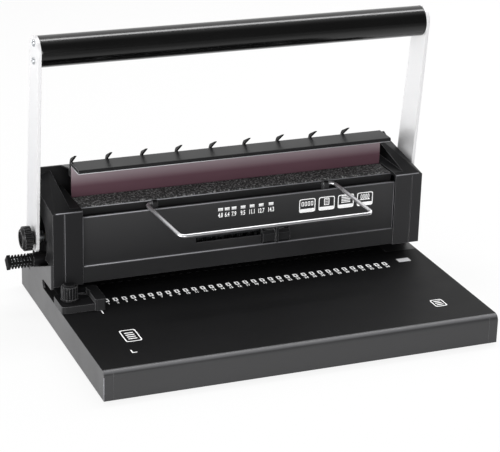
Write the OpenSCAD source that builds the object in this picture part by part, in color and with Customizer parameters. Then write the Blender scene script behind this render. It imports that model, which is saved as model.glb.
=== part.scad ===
// Desk punch and wire closer for bound sheets: a lever turns a shaft whose toothed sectors
// drive a row of square punches and a closing jaw. Millimetres, +Z up, front towards -Y.
// The origin is the centre of the base's footprint on the table.

/* [Base] */
// Width of the base over its side frames
base_w = 373; // [360:1:400]
// Depth of the base
base_d = 264; // [250:1:290]
// Height of the deck that the sheets lie on
deck_z = 29; // [27:0.5:33]
// Radius of the rounded upper front edge
edge_r = 6; // [3:0.5:9]
// Wall of the base shell
base_wall = 2.5; // [2:0.1:3.5]
// Width of the side frame's lower rail
rail_w = 8.5; // [6:0.5:11]
// Thickness of the side frame's upper sheet
side_sheet = 2.4; // [1.5:0.1:3]
// Height of the side frame's upper sheet above the table
side_top_z = 62; // [57:0.5:63]
// Thickness of the bottom plate
bottom_t = 1.5; // [1:0.1:2.5]
// Diameter of a rubber foot
foot_d = 18; // [12:1:24]
// Stand-off of the feet under the base
foot_h = 2; // [1:0.5:4]

/* [Punch] */
// Number of punched holes
hole_count = 34; // [20:1:34]
// Distance between holes
hole_pitch = 8.467; // [8:0.001:8.6]
// Side of a square punch
pin_side = 4; // [3:0.1:4.5]
// Depth of the punching line behind the base centre
punch_y = 46; // [45:0.5:47]
// Height of the sheet throat above the deck
throat_h = 9; // [7:0.5:10]
// Depth of the throat's end behind the base centre
throat_end = 58; // [57:0.5:60]
// Thickness of the pin guide plate
guide_t = 8; // [6:0.5:9]
// Height of the punch beam
beam_h = 12; // [9:0.5:14]
// Depth of the punch beam, front to back
beam_d = 12; // [10:0.5:12.5]
// Thickness of the die under the deck
die_t = 8; // [6:0.5:9]

/* [Lever] */
// Depth of the lever shaft behind the base centre
pivot_y = 71; // [70:0.5:73]
// Height of the lever shaft
pivot_z = 73.5; // [72.5:0.5:76]
// Depth of the handle tube behind the base centre
grip_y = 58; // [50:1:64]
// Height of the handle tube
grip_z = 254; // [230:1:280]
// Outside diameter of the handle tube
grip_d = 28.4; // [24:0.2:32]
// Wall of the handle tube
grip_wall = 2; // [1.5:0.1:3]
// Diameter of the lever shaft
shaft_d = 12; // [10:0.5:12.5]
// Thickness of a lever arm
arm_t = 3; // [2:0.5:5]
// Width of a lever arm at the handle
arm_top_w = 29; // [29:1:36]
// Width of a lever arm at the shaft
arm_low_w = 34; // [32:0.5:36]
// Set-back of a lever arm's lower end behind the shaft
arm_set = 8; // [6:0.5:8]
// Length of a lever arm below the shaft
arm_end = 13; // [11:0.5:14]
// Swing of the lever in degrees
lever_swing = 78; // [60:1:78]
// Diameter of the clamp knob
knob_d = 23; // [18:0.5:26]
// Width of the left clamp knob
knob_w = 9.2; // [7:0.1:11]
// Width of the low right clamp knob
low_knob_w = 4.6; // [4:0.1:6]

/* [Gearing] */
// Module of the jaw teeth
jaw_module = 2; // [1.8:0.05:2]
// Teeth on the full circle of the jaw sector
jaw_teeth = 18; // [17:1:18]
// Module of the punch teeth
punch_module = 1.5; // [1.3:0.05:1.5]
// Teeth on the full circle of the punch sector
punch_teeth = 17; // [17:1:18]
// Width of a toothed sector
gear_w = 4.5; // [3:0.1:4.8]

/* [Tower] */
// Depth of the tower's front face behind the base centre
tower_y = 28; // [26:0.5:29]
// Depth of the tower's back behind the base centre
tower_back = 100; // [98:1:112]
// Width of an end cap
cap_w = 28; // [28:0.5:30]
// Height of an end cap at its front
cap_front_z = 111.4; // [110:0.2:113]
// Height of an end cap at its back
cap_back_z = 127; // [126:0.5:128]
// Fall of an end cap's outer bevel in degrees
cap_fall = 23; // [15:1:25]
// Height of the rear cover's upper edge
rear_top_z = 131; // [129:0.5:133]
// Height of the hook rail's top
roof_z = 137; // [136:0.5:140]
// Wall of an end cap
cap_wall = 2.5; // [2:0.1:3]
// Thickness of a column plate
column_t = 5; // [4:0.5:6]
// Height of the front cover's upper edge
cover_top_z = 104.4; // [102:0.2:105]
// Height of the front cover's lower ledge
ledge_z = 57; // [52:0.5:58]
// Thickness of the covers
cover_t = 2; // [1.2:0.1:2.5]

/* [Closer] */
// Height of the closing floor under its pad
bed_z = 110; // [108:0.5:111]
// Thickness of the rough pad on the closing floor
pad_t = 1.8; // [1:0.1:2.5]
// Depth of the jaw plate's front face behind the base centre
jaw_y = 65; // [64:0.5:66]
// Thickness of the jaw plate
jaw_t = 2; // [1.5:0.1:2.5]
// Height of the jaw bar's top
jaw_top_z = 144.5; // [144:0.5:150]
// Thickness of the jaw bar
jaw_bar_t = 3.5; // [2.5:0.1:4]
// Depth of the jaw bar, front to back
jaw_bar_d = 25; // [20:0.5:27]
// Number of wire hooks
hook_count = 9; // [5:1:10]
// Distance between wire hooks
hook_step = 33.868; // [30:0.1:34]
// Bending radius of a wire hook
hook_r = 8; // [7:0.5:9]

/* [Size selector] */
// Length of the selector slot
slot_len = 93; // [90:1:110]
// Height of the selector slot
slot_h = 6; // [5:0.5:8]
// Height of the selector slot above the table
slot_z = 69; // [68:0.5:70]
// Width of the selector's finger block
slider_w = 27.5; // [24:0.5:28]

/* [Document rest] */
// Diameter of the rest's rod
rest_d = 3.6; // [3:0.1:4]
// Half of the distance between the rest's legs at the pivots
rest_pivot_x = 94; // [80:1:98]
// Half of the distance between the rest's legs at the front
rest_front_x = 94; // [92:0.5:104]
// Sideways set of the rest's front bar
rest_set = 11; // [4:0.5:12]
// Reach of the rest in front of its pivots
rest_reach = 67; // [50:1:75]
// Downward slope of the rest in degrees
rest_slope = 7; // [6:0.5:10]
// Bending radius of the rest's rod
rest_bend = 5.5; // [5:0.5:8]

/* [Edge guide] */
// Width of the edge guide
edge_guide_w = 40.5; // [40:0.5:44]
// Depth of the edge guide, front to back
edge_guide_d = 50; // [46:1:54]
// Height of the edge guide's plate
edge_guide_h = 6.5; // [5:0.5:7]
// Height of the edge guide's fence
fence_h = 11; // [9:0.5:14]
// Travel of the edge guide
edge_guide_travel = 12; // [6:0.5:14]
// Diameter of the edge guide's lock knob
lock_d = 15; // [12:0.5:16]
// Height of the edge guide's lock knob
lock_h = 14.5; // [12:0.5:20]

/* [Margin stop] */
// Depth of the margin rod behind the base centre
margin_y = 75; // [74.5:0.5:77]
// Height of the margin rod
margin_z = 50; // [49:0.5:50]
// Diameter of the margin rod
margin_d = 8; // [6:0.5:8]
// Outside diameter of the rod's collar
collar_d = 12.8; // [11:0.2:13]
// Length of the ribbed grip
margin_grip_len = 24; // [18:0.5:28]
// Number of ribs on the grip
margin_ribs = 6; // [3:1:7]
// Longest reach of a margin finger from the rod
finger_r = 20; // [18:0.2:20.2]

/* [Chip tray] */
// Room between the chip tray's inner end and the left side frame
tray_room = 26.8; // [20:0.2:35]
// Depth of the chip tray, front to back
tray_d = 26; // [22:0.5:28]
// Height of the chip tray
tray_h = 12.5; // [9:0.5:12.5]
// Wall of the chip tray
tray_wall = 1.5; // [1:0.1:2]

/* [Hidden] */
$fn = 48;

// Clearances
eps = 1;
seat = 0.1;
slip = 0.3;
run = 0.05;

// Places across the machine, outermost first
half_w = base_w / 2;
arm_x0 = half_w + 0.8;
arm_x1 = arm_x0 + arm_t;
shell_x = half_w - rail_w;
cap_x1 = half_w - side_sheet - seat;
cap_x0 = cap_x1 - cap_w;
column_room = 8.5;
column_x1 = cap_x1 - cap_wall - column_room;
column_x0 = column_x1 - column_t;
jaw_gear_x1 = column_x0 - 0.7;
jaw_gear_x0 = jaw_gear_x1 - gear_w;
punch_gear_x1 = jaw_gear_x0 - 1.3;
punch_gear_x0 = punch_gear_x1 - gear_w;
cover_x = cap_x0 - 0.2;
jaw_x = cap_x0 - 0.6;

// Heights and depths
base_back = base_d / 2;
bottom_z1 = foot_h + bottom_t;
deck_t = base_wall;
deck_under = deck_z - deck_t;
guide_z0 = deck_z + throat_h;
guide_z1 = guide_z0 + guide_t;
swing_rad = lever_swing * PI / 180;
punch_r = punch_module * punch_teeth / 2;
jaw_r = jaw_module * jaw_teeth / 2;
punch_stroke = punch_r * swing_rad;
jaw_stroke = jaw_r * swing_rad;
beam_room = 3;
beam_z0 = guide_z1 + punch_stroke + beam_room;
beam_z1 = beam_z0 + beam_h;
beam_y0 = punch_y - beam_d / 2;
beam_y1 = punch_y + beam_d / 2;
cover_y = tower_y + cover_t;
lip_y = tower_y + 0.4;
rear_t = 1.6;
cap_back_y = tower_back - rear_t;
cap_nose = 1.2;
cap_slope = (cap_back_z - cap_front_z) / (cap_back_y - tower_y - cap_nose);
bed_y0 = cover_y + 9;
bed_y1 = jaw_y - 0.6;
bed_t = 2;
bed_lip = 12;
pad_z = bed_z + pad_t;
pocket_wall = 1.2;
pocket_z = pad_z + 0.4;
pocket_y0 = tower_y + 6;
pocket_x1 = column_x0 - 2;
jaw_back = jaw_y + jaw_t;
jaw_bar_z0 = jaw_top_z - jaw_bar_t;
jaw_low_z = pivot_z + shaft_d / 2 + jaw_stroke + 2;
jaw_rack_back = pivot_y - jaw_r - 1.25 * jaw_module - 5.5;

function cap_top(y) = cap_front_z + cap_slope * (y - tower_y - cap_nose);
function cap_under(y) = cap_top(y) - cap_wall * sqrt(1 + cap_slope * cap_slope);

// Punch places along the machine
hole_x = [for (i = [0:hole_count - 1]) (i - (hole_count - 1) / 2) * hole_pitch];
die_half = hole_x[hole_count - 1] + 14;

module both_sides() {
    children();
    mirror([1, 0, 0]) children();
}

// Extrudes a depth and height outline across the machine from x0 to x1
module across(x0, x1) {
    translate([x0, 0, 0]) rotate([90, 0, 90]) linear_extrude(x1 - x0) children();
}

module block(x0, x1, y0, y1, z0, z1) {
    translate([x0, y0, z0]) cube([x1 - x0, y1 - y0, z1 - z0]);
}

module bar_x(x0, x1, y, z, d) {
    translate([x0, y, z]) rotate([0, 90, 0]) cylinder(d = d, h = x1 - x0);
}

module rounded_plan(x0, x1, y0, y1, r) {
    translate([x0 + r, y0]) square([x1 - x0 - 2 * r, y1 - y0]);
    translate([x0, y0 + r]) square([x1 - x0, y1 - y0 - 2 * r]);
    for (x = [x0 + r, x1 - r], y = [y0 + r, y1 - r]) translate([x, y]) circle(r);
}

// Side outline of the base with a round upper front edge, set in by a wall
module base_outline(wall) {
    r = max(edge_r - wall, 0.5);
    y0 = -base_back + wall;
    z1 = deck_z - wall;
    translate([y0, foot_h]) square([2 * base_back - 2 * wall, z1 - r - foot_h]);
    translate([y0 + r, foot_h]) square([2 * base_back - 2 * wall - r, z1 - foot_h]);
    translate([y0 + r, z1 - r]) circle(r);
}

// Base

tray_y = punch_y;
tray_z0 = bottom_z1 + slip;
tray_z1 = tray_z0 + tray_h;
tray_gap = 0.8;
die_shoulder = 5;
window_y0 = punch_y - 10;
window_y1 = throat_end + 2;
lock_x = -shell_x + 3;
lock_y = 8;
lock_stud_d = 4;
lock_slot_d = lock_stud_d + 0.8;

module tray_opening(x0, x1) {
    block(x0, x1, tray_y - tray_d / 2 - tray_gap, tray_y + tray_d / 2 + tray_gap,
        foot_h - eps, tray_z1 + tray_gap);
}

module base_shell() {
    color("#1e1e1f") difference() {
        across(-shell_x, shell_x) base_outline(0);
        across(-shell_x - eps, shell_x + eps) base_outline(base_wall);
        block(-shell_x - eps, shell_x + eps, -base_back + base_wall, base_back - base_wall,
            foot_h - eps, deck_under - edge_r);
        block(-die_half - seat, die_half + seat, window_y0 - seat, window_y1 + seat, foot_h, deck_z + eps);
        for (x = [lock_x, lock_x + edge_guide_travel])
            translate([x, lock_y, deck_under - eps]) cylinder(d = lock_slot_d, h = deck_t + 2 * eps);
        block(lock_x, lock_x + edge_guide_travel, lock_y - lock_slot_d / 2, lock_y + lock_slot_d / 2,
            deck_under - eps, deck_z + eps);
    }
}

module bottom_plate() {
    inset = base_wall + seat;
    color("#3a3a3c") block(-shell_x, shell_x, -base_back + inset, base_back - inset, foot_h, bottom_z1);
}

foot_x = shell_x - 22;
foot_y = base_back - 24;

module rubber_feet() {
    color("#141414") for (x = [-foot_x, foot_x], y = [-foot_y, foot_y]) translate([x, y, 0])
        rotate_extrude() polygon([[0, 0], [foot_d / 2 - 1, 0], [foot_d / 2, foot_h], [0, foot_h]]);
}

right_sheet_back = 9;

// Side frame seen from the side: the base rail, and a sheet that rises round the throat. The left
// sheet falls to the back, under the margin rod.
module side_sheet_outline(front_y, back_z) {
    fall_y = margin_y + collar_d;
    difference() {
        polygon([[front_y, foot_h], [front_y, side_top_z], [fall_y, back_z], [tower_back, back_z],
            [tower_back, foot_h]]);
        translate([front_y - eps, deck_z]) square([throat_end - front_y + eps - throat_h / 2, throat_h]);
        translate([throat_end - throat_h / 2, deck_z + throat_h / 2]) circle(d = throat_h);
    }
}

module side_frame(front_y, back_z) {
    across(half_w - rail_w, half_w) base_outline(0);
    across(half_w - side_sheet, half_w) side_sheet_outline(front_y, back_z);
}

module side_frame_left() {
    color("#5d5d5f") mirror([1, 0, 0]) difference() {
        side_frame(tower_y, margin_z - collar_d);
        bar_x(half_w - rail_w - eps, half_w + eps, margin_y, margin_z, collar_d + 2 * seat);
    }
}

module side_frame_right() {
    color("#5d5d5f") difference() {
        side_frame(tower_y + right_sheet_back, side_top_z);
        tray_opening(shell_x - eps, half_w + eps);
    }
}

// Columns and cross members

module column_outline() {
    foot_y0 = throat_end + 2;
    front_y0 = tower_y + 6;
    back_y1 = cap_back_y - 1;
    under = 5;
    polygon([[foot_y0, deck_z], [back_y1, deck_z], [back_y1, cap_under(back_y1) - under],
        [front_y0, cap_under(front_y0) - under], [front_y0, guide_z0 + 2], [foot_y0, guide_z0 + 2]]);
}

bush_d = shaft_d + 6;

module column_plate() {
    difference() {
        across(column_x0, column_x1) column_outline();
        bar_x(column_x0 - eps, column_x1 + eps, pivot_y, pivot_z, bush_d);
        bar_x(column_x0 - eps, column_x1 + eps, margin_y, margin_z, margin_d + 2 * run);
    }
}

module column_plate_left() {
    color("#8d9094") mirror([1, 0, 0]) column_plate();
}

module column_plate_right() {
    color("#8d9094") column_plate();
}

module shaft_bushes() {
    color("#b08d4a") both_sides() difference() {
        union() {
            bar_x(column_x0, column_x1, pivot_y, pivot_z, bush_d);
            bar_x(column_x1, column_x1 + 2, pivot_y, pivot_z, bush_d + 5);
        }
        bar_x(column_x0 - eps, column_x1 + 2 + eps, pivot_y, pivot_z, shaft_d + 2 * run);
    }
}

rear_bar = 8;

module rear_tie_bar() {
    y1 = cap_back_y - 2;
    color("#8d9094") block(-column_x0, column_x0, y1 - rear_bar, y1, pivot_z, pivot_z + rear_bar);
}

tie_inset = 8.6;
tie_h = 8;
tie_y0 = tower_y + tie_inset;
tie_y1 = jaw_rack_back - 0.4;
tie_z1 = bed_z - bed_lip - slip;
tie_z0 = tie_z1 - tie_h;

module upper_tie_bar() {
    color("#8d9094") block(-column_x0, column_x0, tie_y0, tie_y1, tie_z0, tie_z1);
}

// Punch

die_hole = pin_side + 0.2;
guide_hole = pin_side + 0.3;
tab_reach = 16;
tab_y1 = tower_y + tab_reach;

module square_row(side, z0, z1) {
    for (x = hole_x) block(x - side / 2, x + side / 2, punch_y - side / 2, punch_y + side / 2, z0, z1);
}

module die_plate() {
    color("#9a9da1") difference() {
        union() {
            block(-die_half, die_half, window_y0, window_y1, deck_under, deck_z);
            block(-die_half - die_shoulder, die_half + die_shoulder, window_y0 - die_shoulder,
                window_y1 + die_shoulder, deck_z - die_t, deck_under);
        }
        square_row(die_hole, deck_z - die_t - eps, deck_z + eps);
    }
}

module pin_guide_plate() {
    y0 = punch_y - 8.5;
    y1 = punch_y + 7.5;
    color("#9a9da1") difference() {
        union() {
            block(-cover_x, cover_x, y0, y1, guide_z0, guide_z1);
            block(-column_x0, column_x0, y0, tab_y1, guide_z0 + 2, guide_z1);
        }
        square_row(guide_hole, guide_z0 - eps, guide_z1 + eps);
    }
}

module punch_beam() {
    color("#84878b") block(-punch_gear_x1, punch_gear_x1, beam_y0, beam_y1, beam_z0, beam_z1);
}

module punch_pins() {
    color("#c4c7ca") square_row(pin_side, guide_z0 + 0.5, beam_z0);
}

// Toothed sector whose first tooth points to the front; angle grows upwards from there
pressure = 20;
backlash = 0.12;

function involute(rb, t) = [rb * (cos(t) + t * PI / 180 * sin(t)), rb * (sin(t) - t * PI / 180 * cos(t))];
function roll_at(rb, r) = sqrt(max(pow(r / rb, 2) - 1, 0)) * 180 / PI;
function spread(rb, r) = roll_at(rb, r) - acos(min(rb / r, 1));

module gear_tooth(m, teeth) {
    r = m * teeth / 2;
    rb = r * cos(pressure);
    r_tip = r + m;
    r_root = r - 1.25 * m;
    half = (PI * m / 2 - backlash) / 2 / r * 180 / PI;
    turn = half + spread(rb, r);
    steps = 5;
    t0 = roll_at(rb, max(rb, r_root));
    t1 = roll_at(rb, r_tip);
    rolls = [for (i = [0:steps]) t0 + (t1 - t0) * i / steps];
    flank = [for (t = rolls) let (p = involute(rb, t)) [p[0] * cos(-turn) - p[1] * sin(-turn),
        p[0] * sin(-turn) + p[1] * cos(-turn)]];
    other = [for (i = [steps:-1:0]) [flank[i][0], -flank[i][1]]];
    foot = r_root - m / 2;
    polygon(concat([[foot, flank[0][1]]], flank, other, [[foot, -flank[0][1]]]));
}

module toothed_sector(m, teeth) {
    step = 360 / teeth;
    count = ceil(lever_swing / step) + 1;
    r_root = m * teeth / 2 - 1.25 * m;
    reach = 2 * r_root;
    span = (count - 1) * step;
    lower = -step / 2;
    difference() {
        union() {
            circle(shaft_d / 2 + 3);
            intersection() {
                circle(r_root);
                polygon([[0, 0], reach * [cos(lower), sin(lower)], reach * [cos(span / 3), sin(span / 3)],
                    reach * [cos(span * 2 / 3), sin(span * 2 / 3)],
                    reach * [cos(span - lower), sin(span - lower)]]);
            }
            for (i = [0:count - 1]) rotate(i * step) gear_tooth(m, teeth);
        }
        circle(shaft_d / 2 + run / 2);
    }
}

// Sector angles are counted from the front upwards, which mirrors the depth axis
module sector_at(x0, x1, m, teeth) {
    across(x0, x1) translate([pivot_y, pivot_z]) mirror([1, 0]) toothed_sector(m, teeth);
}

// Straight rack that meets a sector in front of the shaft, with a gap at the pitch point
module rack_outline(m, teeth, y_back, z_low, z_high, stroke) {
    pitch_y = pivot_y - m * teeth / 2;
    p = PI * m;
    slope = tan(pressure);
    root_y = pitch_y - 1.25 * m;
    tip_y = pitch_y + m;
    half = p / 4 - backlash / 2;
    translate([y_back, z_low]) square([root_y - y_back, z_high - z_low]);
    for (k = [-1:ceil(stroke / p)]) {
        z = pivot_z + (k + 0.5) * p;
        h_root = half + 1.25 * m * slope;
        h_tip = half - m * slope;
        polygon([[root_y - 0.5, z - h_root], [root_y, z - h_root], [tip_y, z - h_tip],
            [tip_y, z + h_tip], [root_y, z + h_root], [root_y - 0.5, z + h_root]]);
    }
}

module punch_gears() {
    color("#a3a6aa") both_sides() sector_at(punch_gear_x0, punch_gear_x1, punch_module, punch_teeth);
}

module jaw_gears() {
    color("#a3a6aa") both_sides() sector_at(jaw_gear_x0, jaw_gear_x1, jaw_module, jaw_teeth);
}

module punch_racks() {
    color("#8d9094") both_sides() across(punch_gear_x0, punch_gear_x1)
        rack_outline(punch_module, punch_teeth, beam_y1, beam_z0, pivot_z + punch_stroke + 10, punch_stroke);
}

// Jaw rack with an arm that reaches back over the sector, under the cap's pocket, to the jaw plate
ear_z0 = jaw_low_z + 0.5;
ear_lead = 0.7;
ear_z1 = pocket_z - pocket_wall - ear_lead;

module jaw_rack_outline() {
    union() {
        rack_outline(jaw_module, jaw_teeth, jaw_rack_back, pivot_z - PI * jaw_module, ear_z0 + eps, jaw_stroke);
        translate([jaw_rack_back, ear_z0]) square([jaw_y - jaw_rack_back, ear_z1 - ear_z0]);
    }
}

module jaw_racks() {
    color("#8d9094") both_sides() across(jaw_gear_x0, jaw_gear_x1) jaw_rack_outline();
}

// Return springs: one tube of wire along a helix, hung from the tie bar to the beam
spring_d = 4.6;
spring_wire = 1;
spring_turns = 6;
spring_rings = 8;
spring_sides = 6;
spring_x = 130;
spring_y = tie_y1 - spring_d / 2;
spring_z0 = beam_z1;
spring_z1 = tie_z0;
spring_rise = spring_z1 - spring_z0 - spring_wire;
spring_steps = spring_turns * spring_rings;

function spring_at(i) = let (a = 360 * i / spring_rings, r = (spring_d - spring_wire) / 2)
    [r * cos(a), r * sin(a), spring_wire / 2 + spring_rise * i / spring_steps];
function ring_at(i) = let (a = 360 * i / spring_rings, c = spring_at(i))
    [for (j = [0:spring_sides - 1]) let (b = 360 * j / spring_sides, w = spring_wire / 2)
        c + [w * cos(b) * cos(a), w * cos(b) * sin(a), w * sin(b)]];

spring_centres = [for (i = [0:spring_steps]) spring_at(i)];
spring_self_gap = min([for (i = [0:spring_steps - spring_rings + 2], j = [i + spring_rings - 2:spring_steps])
    norm(spring_centres[i] - spring_centres[j])]) - spring_wire;
echo(spring_self_gap = spring_self_gap);

module spring() {
    rings = [for (i = [0:spring_steps]) each ring_at(i)];
    n = spring_sides;
    sides = [for (i = [0:spring_steps - 1], j = [0:n - 1]) let (a = i * n + j, b = i * n + (j + 1) % n)
        each [[a, b, a + n], [b, b + n, a + n]]];
    start = [for (j = [1:n - 2]) [0, j + 1, j]];
    last = spring_steps * n;
    finish = [for (j = [1:n - 2]) [last, last + j, last + j + 1]];
    polyhedron(rings, concat(start, [for (f = sides) [f[0], f[1], f[2]]], finish));
}

module return_springs() {
    color("#b9bcc0") for (x = [-spring_x, spring_x]) translate([x, spring_y, spring_z0]) spring();
}

// Lever

lever_len = norm([grip_y - pivot_y, grip_z - pivot_z]);
lever_lean = atan2(pivot_y - grip_y, grip_z - pivot_z);
arm_corner = 7;
stud_d = 8;
knob_neck = 3.2;
knob_x1 = arm_x1 + knob_neck + knob_w;
low_knob_x1 = arm_x1 + slip + low_knob_w;
knob_dish = 2.2;
low_knob_dish = 0.8;
knob_web = 0.7;
knob_bevel = 2.2;
screw_gap = 16.6;
screw_d = 3.4;
screw_head_d = 6.4;
screw_head_h = 2;

// Arm with a round top on the handle and a lower end that is set back behind the shaft
module lever_arm() {
    front_u = arm_set - arm_low_w / 2;
    back_u = arm_set + arm_low_w / 2;
    top_u = arm_top_w / 2 - 0.4;
    low_v = arm_corner - arm_end;
    translate([0, pivot_y, pivot_z]) rotate([lever_lean, 0, 0]) difference() {
        union() {
            across(arm_x0, arm_x1) polygon([[front_u, low_v], [front_u, 0], [-top_u, lever_len],
                [top_u, lever_len], [back_u, 0], [back_u, low_v]]);
            block(arm_x0, arm_x1, front_u + arm_corner, back_u - arm_corner, -arm_end, 0);
            for (u = [front_u + arm_corner, back_u - arm_corner])
                bar_x(arm_x0, arm_x1, u, low_v, 2 * arm_corner);
            bar_x(arm_x0, arm_x1, 0, lever_len, arm_top_w);
        }
        bar_x(arm_x0 - eps, arm_x1 + eps, 0, 0, shaft_d + run);
        for (t = [-0.5, 0.5]) bar_x(arm_x0 - eps, arm_x1 + eps, 0, lever_len + t * screw_gap, screw_d + run);
    }
}

module lever_arm_left() {
    color("#e9e9ea") mirror([1, 0, 0]) lever_arm();
}

module lever_arm_right() {
    color("#e9e9ea") lever_arm();
}

module main_shaft() {
    color("#b4b7ba") union() {
        bar_x(-arm_x1, arm_x1, pivot_y, pivot_z, shaft_d);
        bar_x(-knob_x1 + knob_dish + knob_web + seat, low_knob_x1 - low_knob_dish - knob_web - seat, pivot_y,
            pivot_z, stud_d);
    }
}

module handle_tube() {
    color("#101010") difference() {
        bar_x(-arm_x0, arm_x0, grip_y, grip_z, grip_d);
        bar_x(-arm_x0 - eps, arm_x0 + eps, grip_y, grip_z, grip_d - 2 * grip_wall);
    }
}

plug_len = 22;
screw_len = 16;

module at_handle_screws() {
    for (s = [-0.5, 0.5])
        translate([0, pivot_y - (lever_len + s * screw_gap) * sin(lever_lean),
            pivot_z + (lever_len + s * screw_gap) * cos(lever_lean)]) children();
}

module handle_plugs() {
    color("#1c1c1c") both_sides() difference() {
        bar_x(arm_x0 - plug_len, arm_x0, grip_y, grip_z, grip_d - 2 * grip_wall - run);
        at_handle_screws() bar_x(arm_x0 - screw_len - eps, arm_x0 + eps, 0, 0, screw_d + run);
    }
}

module handle_screws() {
    color("#c9cbce") both_sides() at_handle_screws() union() {
        bar_x(arm_x0 - screw_len, arm_x1, 0, 0, screw_d);
        bar_x(arm_x1, arm_x1 + screw_head_h, 0, 0, screw_head_d);
    }
}

knob_flutes = 18;

// Fluted knob from x0 to x1 with a bevelled and dished face, and a collar between it and the arm
module clamp_knob(x0, x1, dish) {
    difference() {
        union() {
            across(x0, x1 - knob_bevel) translate([pivot_y, pivot_z]) difference() {
                circle(d = knob_d);
                for (i = [0:knob_flutes - 1]) rotate(i * 360 / knob_flutes)
                    translate([knob_d / 2 + 0.35, 0]) circle(r = 1.25, $fn = 16);
            }
            translate([x1 - knob_bevel, pivot_y, pivot_z]) rotate([0, 90, 0])
                cylinder(d1 = knob_d - 1.2, d2 = knob_d - 1.2 - 2 * knob_bevel, h = knob_bevel);
            bar_x(arm_x1 + slip, x1 - dish - knob_web, pivot_y, pivot_z, knob_d * 0.55);
        }
        bar_x(arm_x1, x1 - dish - knob_web, pivot_y, pivot_z, stud_d + 2 * run);
        bar_x(x1 - dish, x1 + eps, pivot_y, pivot_z, knob_d * 0.62);
    }
}

module clamp_knob_left() {
    color("#262626") mirror([1, 0, 0]) clamp_knob(arm_x1 + knob_neck, knob_x1, knob_dish);
}

module clamp_knob_right() {
    color("#262626") clamp_knob(arm_x1 + slip, low_knob_x1, low_knob_dish);
}

// Tower covers

// End cap seen from the side, set in by a wall, with its lower edge stepped over the side frame
module cap_outline(wall, z_low, z_side) {
    step_y = tower_y + tab_reach;
    back_y = wall > 0 ? cap_back_y + eps : cap_back_y;
    drop = wall * sqrt(1 + cap_slope * cap_slope);
    front = wall > 0 ? [[tower_y + wall, cap_top(tower_y + wall) - drop]]
        : [[tower_y, cap_front_z - cap_nose], [tower_y + cap_nose, cap_front_z]];
    polygon(concat([[tower_y + wall, z_low]], front, [[back_y, cap_top(back_y) - drop], [back_y, z_side],
        [step_y, z_side], [step_y, z_low]]));
}

// Space above the bevel on which an end cap falls away to the outside, lowered by a wall
module cap_bevel(drop) {
    reach = 200;
    rise = 7.6;
    step = 1.1;
    translate([cap_x1, tower_y + cap_nose, cap_front_z - step - drop]) rotate([rise, cap_fall, 0])
        translate([-reach / 2, -reach / 2, 0]) cube(reach);
}

// Shell of the cap, with a pocket that is open to the trough and has a floor and a wall of its own
module end_cap(z_side) {
    foot_z = guide_z0 + 2;
    window_r = 22;
    groove = 0.8;
    top = cap_back_z + eps;
    difference() {
        across(cap_x0, cap_x1) cap_outline(0, foot_z, z_side);
        cap_bevel(0);
        difference() {
            across(cap_x0 - eps, cap_x1 - cap_wall) cap_outline(cap_wall, foot_z - eps, foot_z - eps);
            cap_bevel(cap_wall);
            block(cap_x0 - 2 * eps, pocket_x1 + pocket_wall, pocket_y0 - pocket_wall, cap_back_y + 2 * eps,
                pocket_z - pocket_wall, top);
        }
        block(cap_x0 - eps, pocket_x1, pocket_y0, cap_back_y + eps, pocket_z, top);
        bar_x(cap_x1 - cap_wall - eps, cap_x1 + eps, pivot_y, pivot_z, 2 * window_r);
        block(column_x1, column_x1 + groove, tower_y - eps, tower_y + groove, foot_z - eps, cap_front_z + eps);
    }
}

module end_cap_left() {
    color("#202021") mirror([1, 0, 0]) end_cap(margin_z + collar_d / 2 + 2 * slip);
}

module end_cap_right() {
    color("#202021") end_cap(side_top_z + seat);
}

slot_x0 = -slot_len / 2;
slot_z0 = slot_z - slot_h / 2;
slot_z1 = slot_z + slot_h / 2;

// Cross-section of the front cover: a lower lip, a ledge, a flat face and a folded upper edge
module front_cover() {
    low_z = guide_z0 + 3;
    fold = 2.6;
    color("#2b2b2c") difference() {
        across(-cover_x, cover_x) polygon([[lip_y, low_z], [lip_y, ledge_z - 1], [cover_y, ledge_z + 0.6],
            [cover_y, cover_top_z - 1.2], [cover_y + 1.2, cover_top_z], [cover_y + fold, cover_top_z],
            [cover_y + fold, cover_top_z - cover_t], [cover_y + cover_t, cover_top_z - cover_t],
            [cover_y + cover_t, ledge_z - 0.4], [lip_y + cover_t, ledge_z - 2],
            [lip_y + cover_t, low_z + cover_t], [lip_y + 7, low_z + cover_t], [lip_y + 7, low_z]]);
        block(slot_x0, slot_x0 + slot_len, cover_y - eps, cover_y + cover_t + eps, slot_z0, slot_z1);
    }
}

// Rear cover: a panel with cut upper corners and a roof that rises to the hook rail
module rear_cover() {
    corner = 8;
    corner_z = rear_top_z - 12.5;
    color("#1d1d1e") union() {
        translate([0, tower_back, 0]) rotate([90, 0, 0]) linear_extrude(rear_t)
            polygon([[-cap_x1, deck_z], [cap_x1, deck_z], [cap_x1, corner_z], [cap_x1 - corner, rear_top_z],
                [corner - cap_x1, rear_top_z], [-cap_x1, corner_z]]);
        across(-cover_x, cover_x) polygon([[rail_y1, roof_z], [tower_back, rear_top_z],
            [tower_back, rear_top_z - rear_t], [rail_y1, roof_z - rear_t]]);
    }
}

module cover_screws() {
    zs = [deck_z + 14, rear_top_z - 14];
    color("#8f9295") for (x = [-cap_x0, 0, cap_x0], z = zs) translate([x, tower_back, z])
        rotate([-90, 0, 0]) rotate_extrude() polygon([[0, 0], [3.4, 0], [3, 1.4], [0, 1.8]]);
}

// Closer

module closer_bed() {
    color("#242424") union() {
        block(-cover_x, cover_x, bed_y0, bed_y1, bed_z - bed_t, bed_z);
        block(-cover_x, cover_x, bed_y0, bed_y0 + bed_t, bed_z - bed_lip, bed_z);
        block(-column_x0, column_x0, bed_y0, tab_y1, bed_z - bed_t, bed_z);
    }
}

module bed_pad() {
    color("#2f2f30") block(-cover_x + 1, cover_x - 1, bed_y0 + 0.6, bed_y1 - 0.4, bed_z, pad_z);
}

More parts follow.
